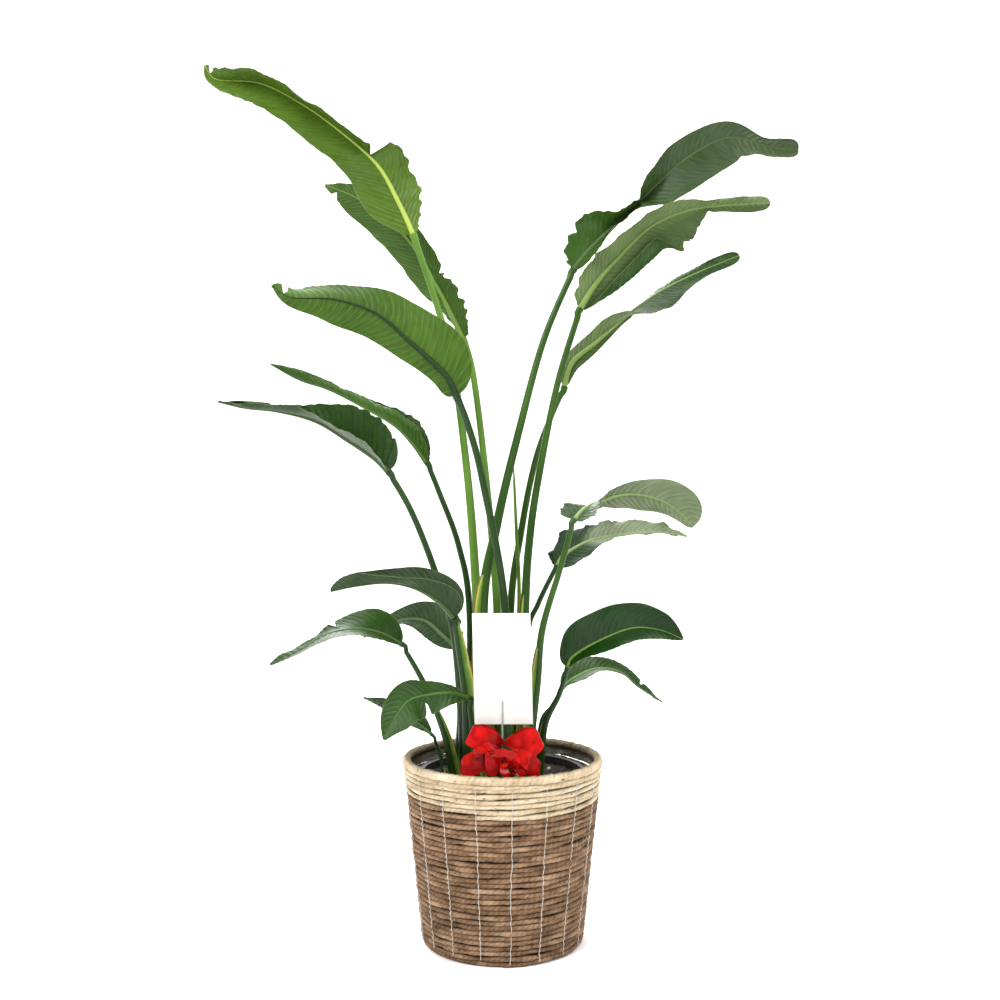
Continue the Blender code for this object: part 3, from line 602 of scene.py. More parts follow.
# Grower's pot
# A thin black pot of moulded plastic with a rolled lip, just lower than the basket's rim.
# It stands inside the liner and keeps the solid's own shape.
pot = Finish("black_pot_plastic", roughness=0.5)
scuffs = pot.speckle(pot.place(), 55, 4.0, 0.7)
pot.paint(base_color=pot.blend(pot.stretch(scuffs, 0.5, 0.8), (0.012, 0.012, 0.013), (0.045, 0.044, 0.042)),
          roughness=scuffs * 0.3 + 0.35)
pot.emboss(scuffs, 0.0004)
coat_node("nursery_pot", pot)


# Soil
# Dark peat and bark fill the pot up to just under its lip,
# with crumbs of bark and a few grains of pumice lying on top.
soil_low, soil_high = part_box("soil")
SOIL_STEPS = 110                # from its middle out and down its side
SOIL_COLUMNS = 240
SOIL_SIDE = 0.12                # length of its side as a share of its radius, and its taper
SOIL_DIP = 0.0018               # how far the surface lies below its highest bumps
SOIL_BUMP = 0.0022
SOIL_SHOULDER = 0.004
CRUMBS = 420
CRUMB_SIZE = (0.0012, 0.0042)
CRUMB_FLATNESS = (0.3, 0.7)
PUMICE_SHARE = 0.015
PEAT = ((0.35, (0.005, 0.004, 0.003)), (0.55, (0.018, 0.012, 0.008)), (0.75, (0.060, 0.040, 0.026)))

soil = Finish("peat_soil", roughness=0.95, specular_ior_level=0.2)
grain = soil.speckle(soil.place(), 160, 6.0, 0.8)
lumps = soil.speckle(soil.place(), 32, 3.0)
soil.paint(base_color=soil.node("ValToRGB", {"stops": PEAT}, {"Fac": grain * 0.6 + lumps * 0.4}))
soil.emboss(grain, 0.003)


def soil_point(u, v):
    """The point of the soil at u out from its middle, then down its side, and v round it."""
    run = u * (1 + SOIL_SIDE)
    where = around(soil_high.x * min(run, 1), v, 0)
    if run <= 1:
        bump = noise.noise(where * 30) * SOIL_BUMP + noise.noise(where * 95) * SOIL_BUMP
        return where + Vector((0, 0, soil_high.z - SOIL_DIP + bump))
    drop = (run - 1) / SOIL_SIDE
    inside = 1 - SOIL_SIDE * drop
    shoulder = soil_high.z - SOIL_SHOULDER
    return Vector((where.x * inside, where.y * inside, shoulder - drop * (shoulder - soil_low.z)))


bm = bmesh.new()
add_grid(bm, SOIL_STEPS, SOIL_COLUMNS, soil_point, lambda u, v: (u, v), closed=True)
bmesh.ops.remove_doubles(bm, verts=bm.verts, dist=0.00001)
close_ends(bm)
add_piece("soil_surface", bm, [soil], ["soil"])

pumice = Finish("pumice", roughness=0.9)
pores = pumice.speckle(pumice.place(), 300)
pumice.paint(base_color=pumice.blend(pores, (0.62, 0.60, 0.54), (0.34, 0.31, 0.26)))
bark = Finish("bark_crumbs", roughness=0.9)
patches = bark.stretch(bark.speckle(bark.place(), 90, 4.0), 0.4, 0.65)
bark.paint(base_color=bark.blend(patches, (0.020, 0.012, 0.007), (0.12, 0.070, 0.038)))
draw = random.Random(5)
bm = bmesh.new()
for crumb in range(CRUMBS):
    made = bmesh.ops.create_icosphere(bm, subdivisions=1, radius=1)["verts"]
    size = draw.uniform(*CRUMB_SIZE)
    flat = draw.uniform(*CRUMB_FLATNESS)
    centre = around(soil_high.x * 0.97 * math.sqrt(draw.random()), draw.random(), soil_high.z - 0.0005)
    heading = draw.uniform(0, math.tau)
    stone = draw.random() < PUMICE_SHARE
    for vert in made:
        rough = 1 + 0.4 * noise.noise(vert.co * 1.7 + Vector((crumb, 0, 0)))
        x, y, z = vert.co * rough * size
        y *= 1 if stone else 0.6
        z *= 0.8 if stone else flat
        vert.co = centre + Vector((x * math.cos(heading) - y * math.sin(heading),
                                   x * math.sin(heading) + y * math.cos(heading), z))
        for face in vert.link_faces:
            face.material_index = 1 if stone else 0
add_piece("soil_crumbs", bm, [bark, pumice])


# Leaves
# Seventeen leaves rise from the soil in a fan. Each is a long stalk that runs on as the midrib of a broad
# blade, whose two halves stand, droop or roll, rib by rib, and tear between the ribs where the wind bends them.
# Each leaf: its petiole's points from the soil up, the petiole's radius at the soil and at the blade,
# and the midrib's points. Then, spaced evenly from base to tip, the width of each half, the direction
# it heads from the midrib in degrees (0 to the front, 90 up, 180 to the back, 270 down) and how far it
# bends towards the upper face on its way to its edge. near is the half on the front side of a blade
# that faces up, and far is the other.
LEAVES = {
    "left_top": dict(
        petiole=[(-0.034, 0.018), (-0.045, 0.020, 0.580), (-0.065, 0.035, 0.840), (-0.100, 0.050, 1.070),
                 (-0.165, 0.050, 1.275)],
        radius=(0.011, 0.0060),
        midrib=[(-0.165, 0.050, 1.275), (-0.190, 0.050, 1.330), (-0.230, 0.040, 1.400),
                (-0.295, 0.020, 1.455), (-0.365, 0.000, 1.500), (-0.435, -0.015, 1.530),
                (-0.510, -0.020, 1.535), (-0.530, -0.020, 1.560)],
        near_width=(0.030, 0.066, 0.060, 0.056, 0.052, 0.040, 0.012),
        near_turn=(-80, -75, -72, -68, -65, -65, -60), near_curl=(0, 0, 0, 0, 0, 0, 0),
        far_width=(0.030, 0.052, 0.057, 0.046, 0.044, 0.044, 0.042, 0.036, 0.022),
        far_turn=(95, 92, 88, 14, 5, 5, 8, 20, 45), far_curl=(0, 0, 0, 0, 0, 0, 0, 0, 0)),
    "left_high": dict(
        petiole=[(-0.006, 0.030), (-0.010, 0.050, 0.580), (-0.030, 0.070, 0.820), (-0.055, 0.090, 1.020),
                 (-0.075, 0.100, 1.090)],
        radius=(0.009, 0.0060),
        midrib=[(-0.075, 0.100, 1.090), (-0.095, 0.110, 1.135), (-0.120, 0.120, 1.185),
                (-0.170, 0.140, 1.270), (-0.230, 0.160, 1.335), (-0.295, 0.180, 1.380),
                (-0.350, 0.200, 1.405)],
        near_width=(0.045, 0.042, 0.030, 0.030, 0.030, 0.025, 0.010),
        near_turn=(75, 60, 60, 70, 75, 80, 80), near_curl=(0, 0, 0, 0, 0, 0, 0),
        far_width=(0.012, 0.022, 0.042, 0.045, 0.042, 0.034, 0.012),
        far_turn=(200, 220, 240, 250, 255, 255, 255), far_curl=(0, 0, 0, 0, 0, 0, 0)),
    "left_middle": dict(
        petiole=[(0.004, -0.022), (0.005, -0.020, 0.585), (-0.035, -0.060, 0.820), (-0.060, -0.080, 0.915),
                 (-0.080, -0.100, 0.965)],
        radius=(0.009, 0.0060),
        midrib=[(-0.080, -0.100, 0.965), (-0.095, -0.110, 0.995), (-0.120, -0.120, 1.020),
                (-0.155, -0.140, 1.050), (-0.210, -0.160, 1.095), (-0.275, -0.180, 1.115),
                (-0.345, -0.200, 1.115), (-0.375, -0.200, 1.135)],
        near_width=(0.035, 0.068, 0.062, 0.048, 0.036, 0.034, 0.022),
        near_turn=(95, 95, 95, 100, 110, 115, 110), near_curl=(0, 0, 10, 20, 30, 40, 0),
        far_width=(0.032, 0.026, 0.034, 0.044, 0.042, 0.024, 0.008),
        far_turn=(265, 262, 260, 262, 265, 265, 260), far_curl=(0, 0, 0, 0, 0, 0, 0)),
    "left_folded": dict(
        petiole=[(-0.058, 0.031), (-0.060, 0.030, 0.580), (-0.080, 0.040, 0.700), (-0.115, 0.050, 0.795),
                 (-0.140, 0.060, 0.855)],
        radius=(0.009, 0.0050),
        midrib=[(-0.140, 0.060, 0.855), (-0.165, 0.070, 0.890), (-0.200, 0.085, 0.925),
                (-0.260, 0.100, 0.960), (-0.330, 0.120, 0.995), (-0.390, 0.135, 1.015),
                (-0.445, 0.140, 1.045)],
        near_width=(0.020, 0.032, 0.026, 0.020, 0.018, 0.020, 0.010),
        near_turn=(40, 35, 25, 20, 20, 30, 40), near_curl=(40, 60, 110, 130, 120, 60, 30),
        far_width=(0.022, 0.042, 0.030, 0.020, 0.018, 0.024, 0.010),
        far_turn=(120, 125, 140, 160, 160, 140, 120), far_curl=(0, 20, 70, 100, 110, 50, 20)),
    "left_front": dict(
        petiole=[(-0.066, 0.006), (-0.085, -0.010, 0.535), (-0.120, -0.030, 0.660), (-0.160, -0.050, 0.765),
                 (-0.200, -0.060, 0.835)],
        radius=(0.010, 0.0055),
        midrib=[(-0.200, -0.060, 0.835), (-0.225, -0.070, 0.860), (-0.270, -0.080, 0.890),
                (-0.320, -0.100, 0.920), (-0.380, -0.120, 0.935), (-0.435, -0.130, 0.940),
                (-0.480, -0.130, 0.950)],
        near_width=(0.020, 0.045, 0.045, 0.035, 0.022, 0.014, 0.006),
        near_turn=(0, 12, 15, 18, 15, 10, 10), near_curl=(0, 0, 0, 0, 40, 60, 60),
        far_width=(0.035, 0.062, 0.060, 0.028, 0.014, 0.014, 0.006),
        far_turn=(80, 85, 90, 110, 130, 120, 100), far_curl=(0, 0, 0, 20, 40, 40, 0)),
    "left_low": dict(
        petiole=[(-0.060, -0.020), (-0.065, -0.030, 0.430), (-0.075, -0.040, 0.510), (-0.085, -0.060, 0.580)],
        radius=(0.011, 0.0055),
        midrib=[(-0.085, -0.060, 0.580), (-0.110, -0.080, 0.610), (-0.150, -0.100, 0.635),
                (-0.195, -0.120, 0.645), (-0.245, -0.130, 0.640), (-0.290, -0.130, 0.630)],
        near_width=(0.020, 0.040, 0.036, 0.030, 0.030, 0.030, 0.020),
        near_turn=(60, 50, 30, 0, -10, 0, 0), near_curl=(0, 20, 40, 60, 90, 160, 160),
        far_width=(0.030, 0.046, 0.040, 0.030, 0.028, 0.030, 0.020),
        far_turn=(90, 100, 110, 150, 170, 180, 180), far_curl=(0, 0, 10, 60, 90, 160, 160)),
    "left_low_back": dict(
        petiole=[(-0.083, 0.024), (-0.078, 0.028, 0.420), (-0.085, 0.040, 0.515)],
        radius=(0.006, 0.0045),
        midrib=[(-0.085, 0.040, 0.515), (-0.110, 0.055, 0.535), (-0.145, 0.080, 0.560),
                (-0.190, 0.100, 0.560), (-0.230, 0.120, 0.540), (-0.265, 0.120, 0.525)],
        near_width=(0.035, 0.050, 0.035, 0.020, 0.014, 0.008),
        near_turn=(80, 80, 85, 95, 100, 100), near_curl=(0, 0, 0, 0, 0, 0),
        far_width=(0.015, 0.025, 0.028, 0.014, 0.010, 0.006),
        far_turn=(260, 262, 255, 240, 230, 230), far_curl=(0, 0, 0, 0, 0, 0)),
    "left_side": dict(
        petiole=[(-0.085, -0.020), (-0.100, -0.020, 0.360), (-0.125, -0.030, 0.430), (-0.150, -0.030, 0.480),
                 (-0.180, -0.030, 0.530)],
        radius=(0.010, 0.0045),
        midrib=[(-0.180, -0.030, 0.530), (-0.215, -0.040, 0.550), (-0.255, -0.060, 0.560),
                (-0.300, -0.090, 0.555), (-0.345, -0.110, 0.530), (-0.395, -0.120, 0.505)],
        near_width=(0.015, 0.035, 0.036, 0.030, 0.022, 0.012),
        near_turn=(-10, -8, -15, -25, -30, -30), near_curl=(0, 0, 10, 20, 30, 40),
        far_width=(0.022, 0.044, 0.034, 0.022, 0.018, 0.010),
        far_turn=(100, 120, 150, 165, 165, 150), far_curl=(0, 0, 0, 0, 20, 40)),
    "left_hanging": dict(
        petiole=[(-0.044, -0.040), (-0.055, -0.050, 0.400), (-0.060, -0.060, 0.440)],
        radius=(0.006, 0.0045),
        midrib=[(-0.060, -0.060, 0.440), (-0.090, -0.075, 0.450), (-0.130, -0.100, 0.450),
                (-0.160, -0.130, 0.445), (-0.180, -0.160, 0.420), (-0.195, -0.180, 0.390)],
        near_width=(0.012, 0.026, 0.036, 0.038, 0.030, 0.010),
        near_turn=(-30, -40, -60, -70, -70, -70), near_curl=(0, 0, 0, 0, 0, 0),
        far_width=(0.012, 0.024, 0.032, 0.032, 0.024, 0.010),
        far_turn=(150, 140, 125, 110, 105, 100), far_curl=(0, 0, 0, 0, 0, 0)),
    "left_small": dict(
        petiole=[(-0.106, 0.010), (-0.115, 0.020, 0.330), (-0.130, 0.020, 0.360)],
        radius=(0.004, 0.0030),
        midrib=[(-0.130, 0.020, 0.360), (-0.145, 0.030, 0.370), (-0.175, 0.050, 0.385),
                (-0.215, 0.070, 0.400), (-0.260, 0.080, 0.415)],
        near_width=(0.006, 0.014, 0.016, 0.014, 0.004),
        near_turn=(-30, -30, -20, -10, 0), near_curl=(0, 0, 0, 0, 0),
        far_width=(0.010, 0.020, 0.018, 0.014, 0.004),
        far_turn=(90, 100, 110, 120, 120), far_curl=(0, 0, 0, 0, 0)),
    "right_top": dict(
        petiole=[(-0.022, -0.012), (-0.035, -0.010, 0.585), (-0.010, -0.010, 0.740), (0.030, 0.000, 0.910),
                 (0.075, 0.010, 1.075), (0.130, 0.020, 1.205)],
        radius=(0.013, 0.0060),
        midrib=[(0.130, 0.020, 1.205), (0.150, 0.010, 1.230), (0.185, 0.005, 1.265),
                (0.245, -0.010, 1.320), (0.325, -0.030, 1.390), (0.400, -0.040, 1.425),
                (0.470, -0.050, 1.405), (0.520, -0.050, 1.400)],
        near_width=(0.020, 0.036, 0.028, 0.050, 0.056, 0.048, 0.024, 0.034),
        near_turn=(-60, -20, -15, -60, -80, -85, -80, -70), near_curl=(0, 0, 0, 0, 0, 0, 20, 30),
        far_width=(0.050, 0.060, 0.045, 0.040, 0.036, 0.030, 0.014, 0.034),
        far_turn=(110, 85, 5, 35, 62, 58, 70, 75), far_curl=(0, 0, 0, 0, 0, 0, 20, 30)),
    "right_high": dict(
        petiole=[(0.036, 0.012), (0.040, 0.000, 0.585), (0.050, 0.000, 0.730), (0.070, 0.000, 0.855),
                 (0.100, 0.000, 1.000), (0.140, 0.000, 1.130)],
        radius=(0.011, 0.0060),
        midrib=[(0.140, 0.000, 1.130), (0.165, 0.005, 1.170), (0.205, 0.020, 1.220),
                (0.270, 0.040, 1.285), (0.340, 0.060, 1.320), (0.410, 0.080, 1.335),
                (0.505, 0.100, 1.345)],
        near_width=(0.030, 0.040, 0.034, 0.030, 0.026, 0.014, 0.015, 0.024),
        near_turn=(95, 80, 45, 45, 50, 60, 75, 80), near_curl=(0, 0, 0, 0, 0, 0, 20, 20),
        far_width=(0.030, 0.060, 0.072, 0.074, 0.060, 0.014, 0.015, 0.024),
        far_turn=(260, 270, 270, 275, 280, 262, 262, 262), far_curl=(0, 0, 0, 0, 0, 0, 20, 20)),
    "right_middle": dict(
        petiole=[(0.016, 0.048), (0.015, 0.050, 0.580), (0.035, 0.050, 0.730), (0.060, 0.050, 0.855),
                 (0.090, 0.060, 0.940), (0.115, 0.060, 0.995)],
        radius=(0.009, 0.0055),
        midrib=[(0.115, 0.060, 0.995), (0.130, 0.065, 1.040), (0.175, 0.080, 1.080),
                (0.240, 0.110, 1.140), (0.310, 0.140, 1.190), (0.385, 0.170, 1.230),
                (0.465, 0.190, 1.265)],
        near_width=(0.018, 0.020, 0.024, 0.042, 0.042, 0.024, 0.014, 0.022),
        near_turn=(100, 95, 60, -30, -62, -70, -75, -80), near_curl=(0, 0, 0, 0, 0, 0, 0, 20),
        far_width=(0.015, 0.018, 0.012, 0.012, 0.012, 0.012, 0.014, 0.022),
        far_turn=(280, 275, 262, 215, 150, 120, 95, 85), far_curl=(0, 0, 0, 0, 0, 0, 0, 20)),
    "right_pale": dict(
        petiole=[(0.040, -0.018), (0.060, -0.030, 0.450), (0.070, -0.040, 0.555), (0.100, -0.050, 0.660),
                 (0.125, -0.060, 0.750)],
        radius=(0.010, 0.0050),
        midrib=[(0.125, -0.060, 0.750), (0.145, -0.035, 0.770), (0.180, 0.010, 0.785),
                (0.235, 0.030, 0.795), (0.285, 0.020, 0.785), (0.318, 0.000, 0.763),
                (0.340, -0.020, 0.737)],
        near_width=(0.030, 0.036, 0.012, 0.016, 0.028, 0.042, 0.046, 0.038),
        near_turn=(-60, -40, 20, 85, 90, 85, 80, 75), near_curl=(0, 0, 0, 0, 0, 0, 0, 0),
        far_width=(0.062, 0.037, 0.015, 0.022, 0.028, 0.022, 0.016, 0.014),
        far_turn=(110, 130, 200, 262, 265, 265, 265, 260), far_curl=(0, 0, 0, 0, 0, 0, 0, 0)),
    "right_back": dict(
        petiole=[(0.042, 0.040), (0.045, 0.020, 0.530), (0.065, 0.030, 0.595), (0.100, 0.040, 0.665)],
        radius=(0.009, 0.0045),
        midrib=[(0.100, 0.040, 0.665), (0.115, 0.050, 0.685), (0.165, 0.080, 0.710),
                (0.225, 0.110, 0.720), (0.290, 0.130, 0.725), (0.355, 0.140, 0.715)],
        near_width=(0.030, 0.030, 0.018, 0.014, 0.012, 0.010),
        near_turn=(-80, -50, -20, -15, -15, -10), near_curl=(0, 0, 0, 0, 0, 0),
        far_width=(0.035, 0.044, 0.036, 0.032, 0.026, 0.012),
        far_turn=(130, 120, 120, 130, 140, 140), far_curl=(0, 0, 0, 0, 0, 0)),
    "right_glossy": dict(
        petiole=[(0.064, -0.010), (0.075, -0.030, 0.385), (0.100, -0.035, 0.440), (0.115, -0.040, 0.490)],
        radius=(0.009, 0.0045),
        midrib=[(0.115, -0.040, 0.490), (0.125, -0.050, 0.510), (0.165, -0.080, 0.540),
                (0.220, -0.100, 0.565), (0.265, -0.120, 0.565), (0.305, -0.130, 0.550)],
        near_width=(0.012, 0.022, 0.034, 0.028, 0.022, 0.010),
        near_turn=(-30, -25, -35, -45, -40, -40), near_curl=(0, 0, 0, 0, 0, 0),
        far_width=(0.020, 0.046, 0.050, 0.046, 0.034, 0.012),
        far_turn=(100, 95, 85, 80, 75, 70), far_curl=(0, 0, 0, 0, 0, 0)),
    "right_narrow": dict(
        petiole=[(0.062, 0.016), (0.070, 0.015, 0.380), (0.090, 0.020, 0.410), (0.110, 0.020, 0.445)],
        radius=(0.006, 0.0040),
        midrib=[(0.110, 0.020, 0.445), (0.130, 0.030, 0.460), (0.175, 0.050, 0.475),
                (0.220, 0.070, 0.465), (0.255, 0.080, 0.435), (0.300, 0.090, 0.405)],
        near_width=(0.012, 0.026, 0.024, 0.020, 0.014, 0.006),
        near_turn=(-20, -15, -5, 0, 0, 0), near_curl=(0, 0, 0, 0, 20, 20),
        far_width=(0.018, 0.030, 0.028, 0.024, 0.016, 0.006),
        far_turn=(120, 130, 140, 150, 150, 150), far_curl=(0, 0, 0, 0, 20, 20)),
}


# How each blade looks: the shades of its upper face and of its underside, how far its edge ruffles in
# metres, how much its side veins slant towards the tip, its tears as (half, place from base to tip, depth as
# a share of the width, breadth), where its edge is ragged, as (half, first and last place, depth), and where
# an edge rolls over, as (half, first and last place, the share of the width that stays flat, degrees).
LOOKS = {
    "left_top": dict(shades=("fresh", "soft"), ruffle=0.008, slant=1.1, ragged=(("far", 0.02, 0.31, 0.22),),
                     tears=(("far", 0.325, 0.93, 0.022), ("far", 0.36, 0.40, 0.05), ("far", 0.965, 0.8, 0.02))),
    "left_high": dict(shades=("green", "olive"), ruffle=0.010, slant=1.3,
                      ragged=(("near", 0.0, 0.28, 0.35),),
                      tears=(("near", 0.30, 0.45, 0.02), ("far", 0.93, 0.7, 0.02))),
    "left_middle": dict(shades=("green", "mossy"), ruffle=0.003, slant=0.45,
                        tears=(("near", 0.94, 0.85, 0.028),)),
    "left_folded": dict(shades=("dark", "green"), ruffle=0.007, slant=0.9,
                        ragged=(("near", 0.0, 0.4, 0.15), ("far", 0.02, 0.5, 0.18))),
    "left_front": dict(shades=("dark", "satin"), ruffle=0.009, slant=0.6,
                       ragged=(("far", 0.12, 0.62, 0.12),),
                       tears=(("far", 0.70, 0.5, 0.02),)),
    "left_low": dict(shades=("satin", "satin"), ruffle=0.002, slant=0.9),
    "left_low_back": dict(shades=("satin", "satin"), ruffle=0.003, slant=0.8,
                          tears=(("near", 0.10, 0.3, 0.03),)),
    "left_side": dict(shades=("dark", "satin"), ruffle=0.003, slant=0.9, tears=(("far", 0.46, 0.5, 0.02),)),
    "left_hanging": dict(shades=("dark", "green"), ruffle=0.003, slant=0.7,
                         tears=(("near", 0.42, 0.85, 0.02),)),
    "left_small": dict(shades=("dark", "green"), ruffle=0.001, slant=0.9),
    "right_top": dict(shades=("painted_sheen", "satin"), ruffle=0.006, slant=0.8,
                      ragged=(("far", 0.02, 0.27, 0.28),),
                      tears=(("far", 0.345, 0.8, 0.02),)),
    "right_high": dict(shades=("dark", "soft"), ruffle=0.008,
                       ragged=(("near", 0.0, 0.2, 0.2), ("far", 0.45, 0.75, 0.18)),
                       slant=1.1, tears=(("far", 0.72, 0.3, 0.02),),
                       roll=("far", -0.05, 0.47, 0.60, 165)),
    "right_middle": dict(shades=("dark", "soft"), ruffle=0.004, slant=1.1),
    "right_pale": dict(shades=("dark", "silver"), ruffle=0.005, slant=0.8,
                       ragged=(("near", 0.0, 0.2, 0.3), ("far", 0.0, 0.2, 0.3))),
    "right_back": dict(shades=("silver", "silver"), ruffle=0.010, slant=1.0,
                       ragged=(("far", 0.0, 0.5, 0.25),)),
    "right_glossy": dict(shades=("glossy", "soft"), ruffle=0.003, slant=0.9),
    "right_narrow": dict(shades=("dark", "olive"), ruffle=0.002, slant=1.0,
                         tears=(("far", 0.76, 0.6, 0.02),)),
}
# Shades: shadow and light colour, colour of the side veins, colour of the midrib, roughness.
SHADES = {
    "fresh": ((0.030, 0.076, 0.005), (0.090, 0.165, 0.016), (0.170, 0.255, 0.048),
              (0.42, 0.52, 0.10), 0.28),
    "green": ((0.010, 0.038, 0.003), (0.040, 0.098, 0.009), (0.070, 0.130, 0.026),
              (0.055, 0.13, 0.016), 0.30),
    "dark": ((0.006, 0.026, 0.002), (0.022, 0.065, 0.006), (0.044, 0.092, 0.016),
             (0.080, 0.165, 0.028), 0.28),
    "satin": ((0.012, 0.031, 0.008), (0.036, 0.066, 0.025), (0.055, 0.090, 0.040),
              (0.07, 0.125, 0.036), 0.36),
    # This shade's grey light and vein colours are painted sheen, a reflection of the bright room painted on the
    # face.
    "painted_sheen": ((0.016, 0.040, 0.008), (0.062, 0.090, 0.040), (0.100, 0.125, 0.070),
              (0.06, 0.12, 0.022), 0.30),
    "glossy": ((0.002, 0.014, 0.001), (0.008, 0.045, 0.003), (0.030, 0.078, 0.014),
               (0.13, 0.24, 0.04), 0.18),
    "olive": ((0.018, 0.054, 0.005), (0.060, 0.125, 0.016), (0.120, 0.190, 0.045),
              (0.14, 0.25, 0.04), 0.40),
    "mossy": ((0.018, 0.052, 0.004), (0.062, 0.132, 0.014), (0.105, 0.185, 0.036),
              (0.010, 0.034, 0.003), 0.42),
    "soft": ((0.045, 0.082, 0.020), (0.130, 0.185, 0.068), (0.220, 0.275, 0.130), (0.17, 0.26, 0.06), 0.42),
    "silver": ((0.060, 0.090, 0.036), (0.200, 0.235, 0.150), (0.300, 0.325, 0.235),
               (0.20, 0.29, 0.09), 0.42),
}
COLLAR = (0.008, 0.030, 0.004)  # the dark foot of the palest blades
EDGE_SWEEP = (-0.40, -0.05, 0.20, 0.30, 0.30)
BLADE_END = 0.0035
ROLL_ARC = 0.008                # length of the bend where an edge rolls over
BLADE_THICKNESS = 0.0006
BLADE_COLUMN = 0.0023           # length of a blade between two of its columns
BLADE_ROWS = 30
RIB_SPACING = 0.0115
RIB_HEIGHT = 0.00050
BLADE_WAVE = 0.0045             # how far a blade buckles out of its own surface
MIDRIB_SIDES = 10
MIDRIB_TIP = 0.0008
MIDRIB_SINK = 0.35              # share of its radius that a midrib lies below the blade
THREAD_SPACING = 0.0014         # between the fine veins that lie between the ribs
SPINE_STEPS = 160
CURVE_STEPS = 400


def smooth_path(points, u):
    """The point at u, 0 to 1, on a smooth curve through the points."""
    last = len(points) - 1
    step = min(int(u * last), last - 1)
    t = u * last - step
    a = points[max(step - 1, 0)]
    b = points[step]
    c = points[step + 1]
    d = points[min(step + 2, last)]
    return 0.5 * (2 * b + (c - a) * t + (2 * a - 5 * b + 4 * c - d) * t**2 + (3 * b - a - 3 * c + d) * t**3)


def even_path(points, count):
    """The curve through the points, as count + 1 points an equal length apart, and its length."""
    fine = [smooth_path(points, i / CURVE_STEPS) for i in range(CURVE_STEPS + 1)]
    travel = [0.0]
    for a, b in zip(fine, fine[1:]):
        travel.append(travel[-1] + (b - a).length)
    result = []
    at = 0
    for i in range(count + 1):
        target = travel[-1] * i / count
        while at < CURVE_STEPS - 1 and travel[at + 1] < target:
            at += 1
        share = (target - travel[at]) / (travel[at + 1] - travel[at])
        result.append(fine[at].lerp(fine[at + 1], share))
    return result, travel[-1]


def half_reach(leaf, half, u, look):
    """Distance from the midrib to the edge of one half of the blade at u, with its tears cut in."""
    reach = smooth_path(leaf[half + "_width"], u) * math.sqrt(max(1 - abs(2 * u - 1) ** 6, 0))
    for ragged_half, first, end, depth in look.get("ragged", ()):
        if ragged_half == half and first <= u <= end:
            scallop = noise.noise(Vector((u * 30, depth * 90, 0)))
            scallop += 0.35 * noise.noise(Vector((u * 80, depth, 5)))
            reach *= 1 - depth * min(max(0.5 + scallop, 0), 1)
    for torn_half, place, depth, breadth in look.get("tears", ()):
        if torn_half == half:
            reach *= 1 - depth * max(1 - abs(u - place) / breadth, 0) ** 0.8
    return max(reach, BLADE_END)


def bent(start, bend, reach):
    """The run to the front and the rise of an arc that starts at an angle and turns by bend, in radians."""
    if abs(bend) < 0.001:
        return reach * math.cos(start), reach * math.sin(start)
    radius = reach / bend
    end = start + bend
    return radius * (math.sin(end) - math.sin(start)), radius * (math.cos(start) - math.cos(end))


def blade_point(leaf, look, spine, u, s):
    """The point of a blade at u along its midrib and s across, -1 at the near edge and 1 at the far one."""
    last = len(spine) - 1
    index = min(int(u * last), last - 1)
    middle = spine[index].lerp(spine[index + 1], u * last - index)
    ahead = (spine[min(index + 4, last)] - spine[max(index - 3, 0)]).normalized()
    front = Vector((0, -1, 0))
    front = (front - ahead * front.dot(ahead)).normalized()
    above = ahead.cross(front) * (1 if leaf["midrib"][-1][0] < 0 else -1)
    half = "near" if s < 0 else "far"
    reach = abs(s) * half_reach(leaf, half, u, look)
    sweep = smooth_path(EDGE_SWEEP, u) * s**2
    rolled_half, first, end, flat, degrees = look.get("roll", ("", 0, 0, 1, 0))
    rolled = max(abs(s) - flat, 0) / abs(s) if rolled_half == half and s else 0
    rolled *= reach * max(min((u - first) / 0.06, (end - u) / 0.06, 1), 0)
    arc = min(rolled, ROLL_ARC)
    turn = math.radians(smooth_path(leaf[half + "_turn"], u))
    bend = math.radians(smooth_path(leaf[half + "_curl"], u)) * abs(s) * (1 if s < 0 else -1)
    roll = math.radians(degrees) * arc / ROLL_ARC
    run = rise = 0
    for stretch, turn_by in ((reach - rolled, bend), (arc, roll), (rolled - arc, 0)):
        step = bent(turn, turn_by, stretch)
        run += step[0]
        rise += step[1]
        turn += turn_by
    return middle + front * run + above * rise + ahead * (sweep * max(reach - BLADE_END, 0))


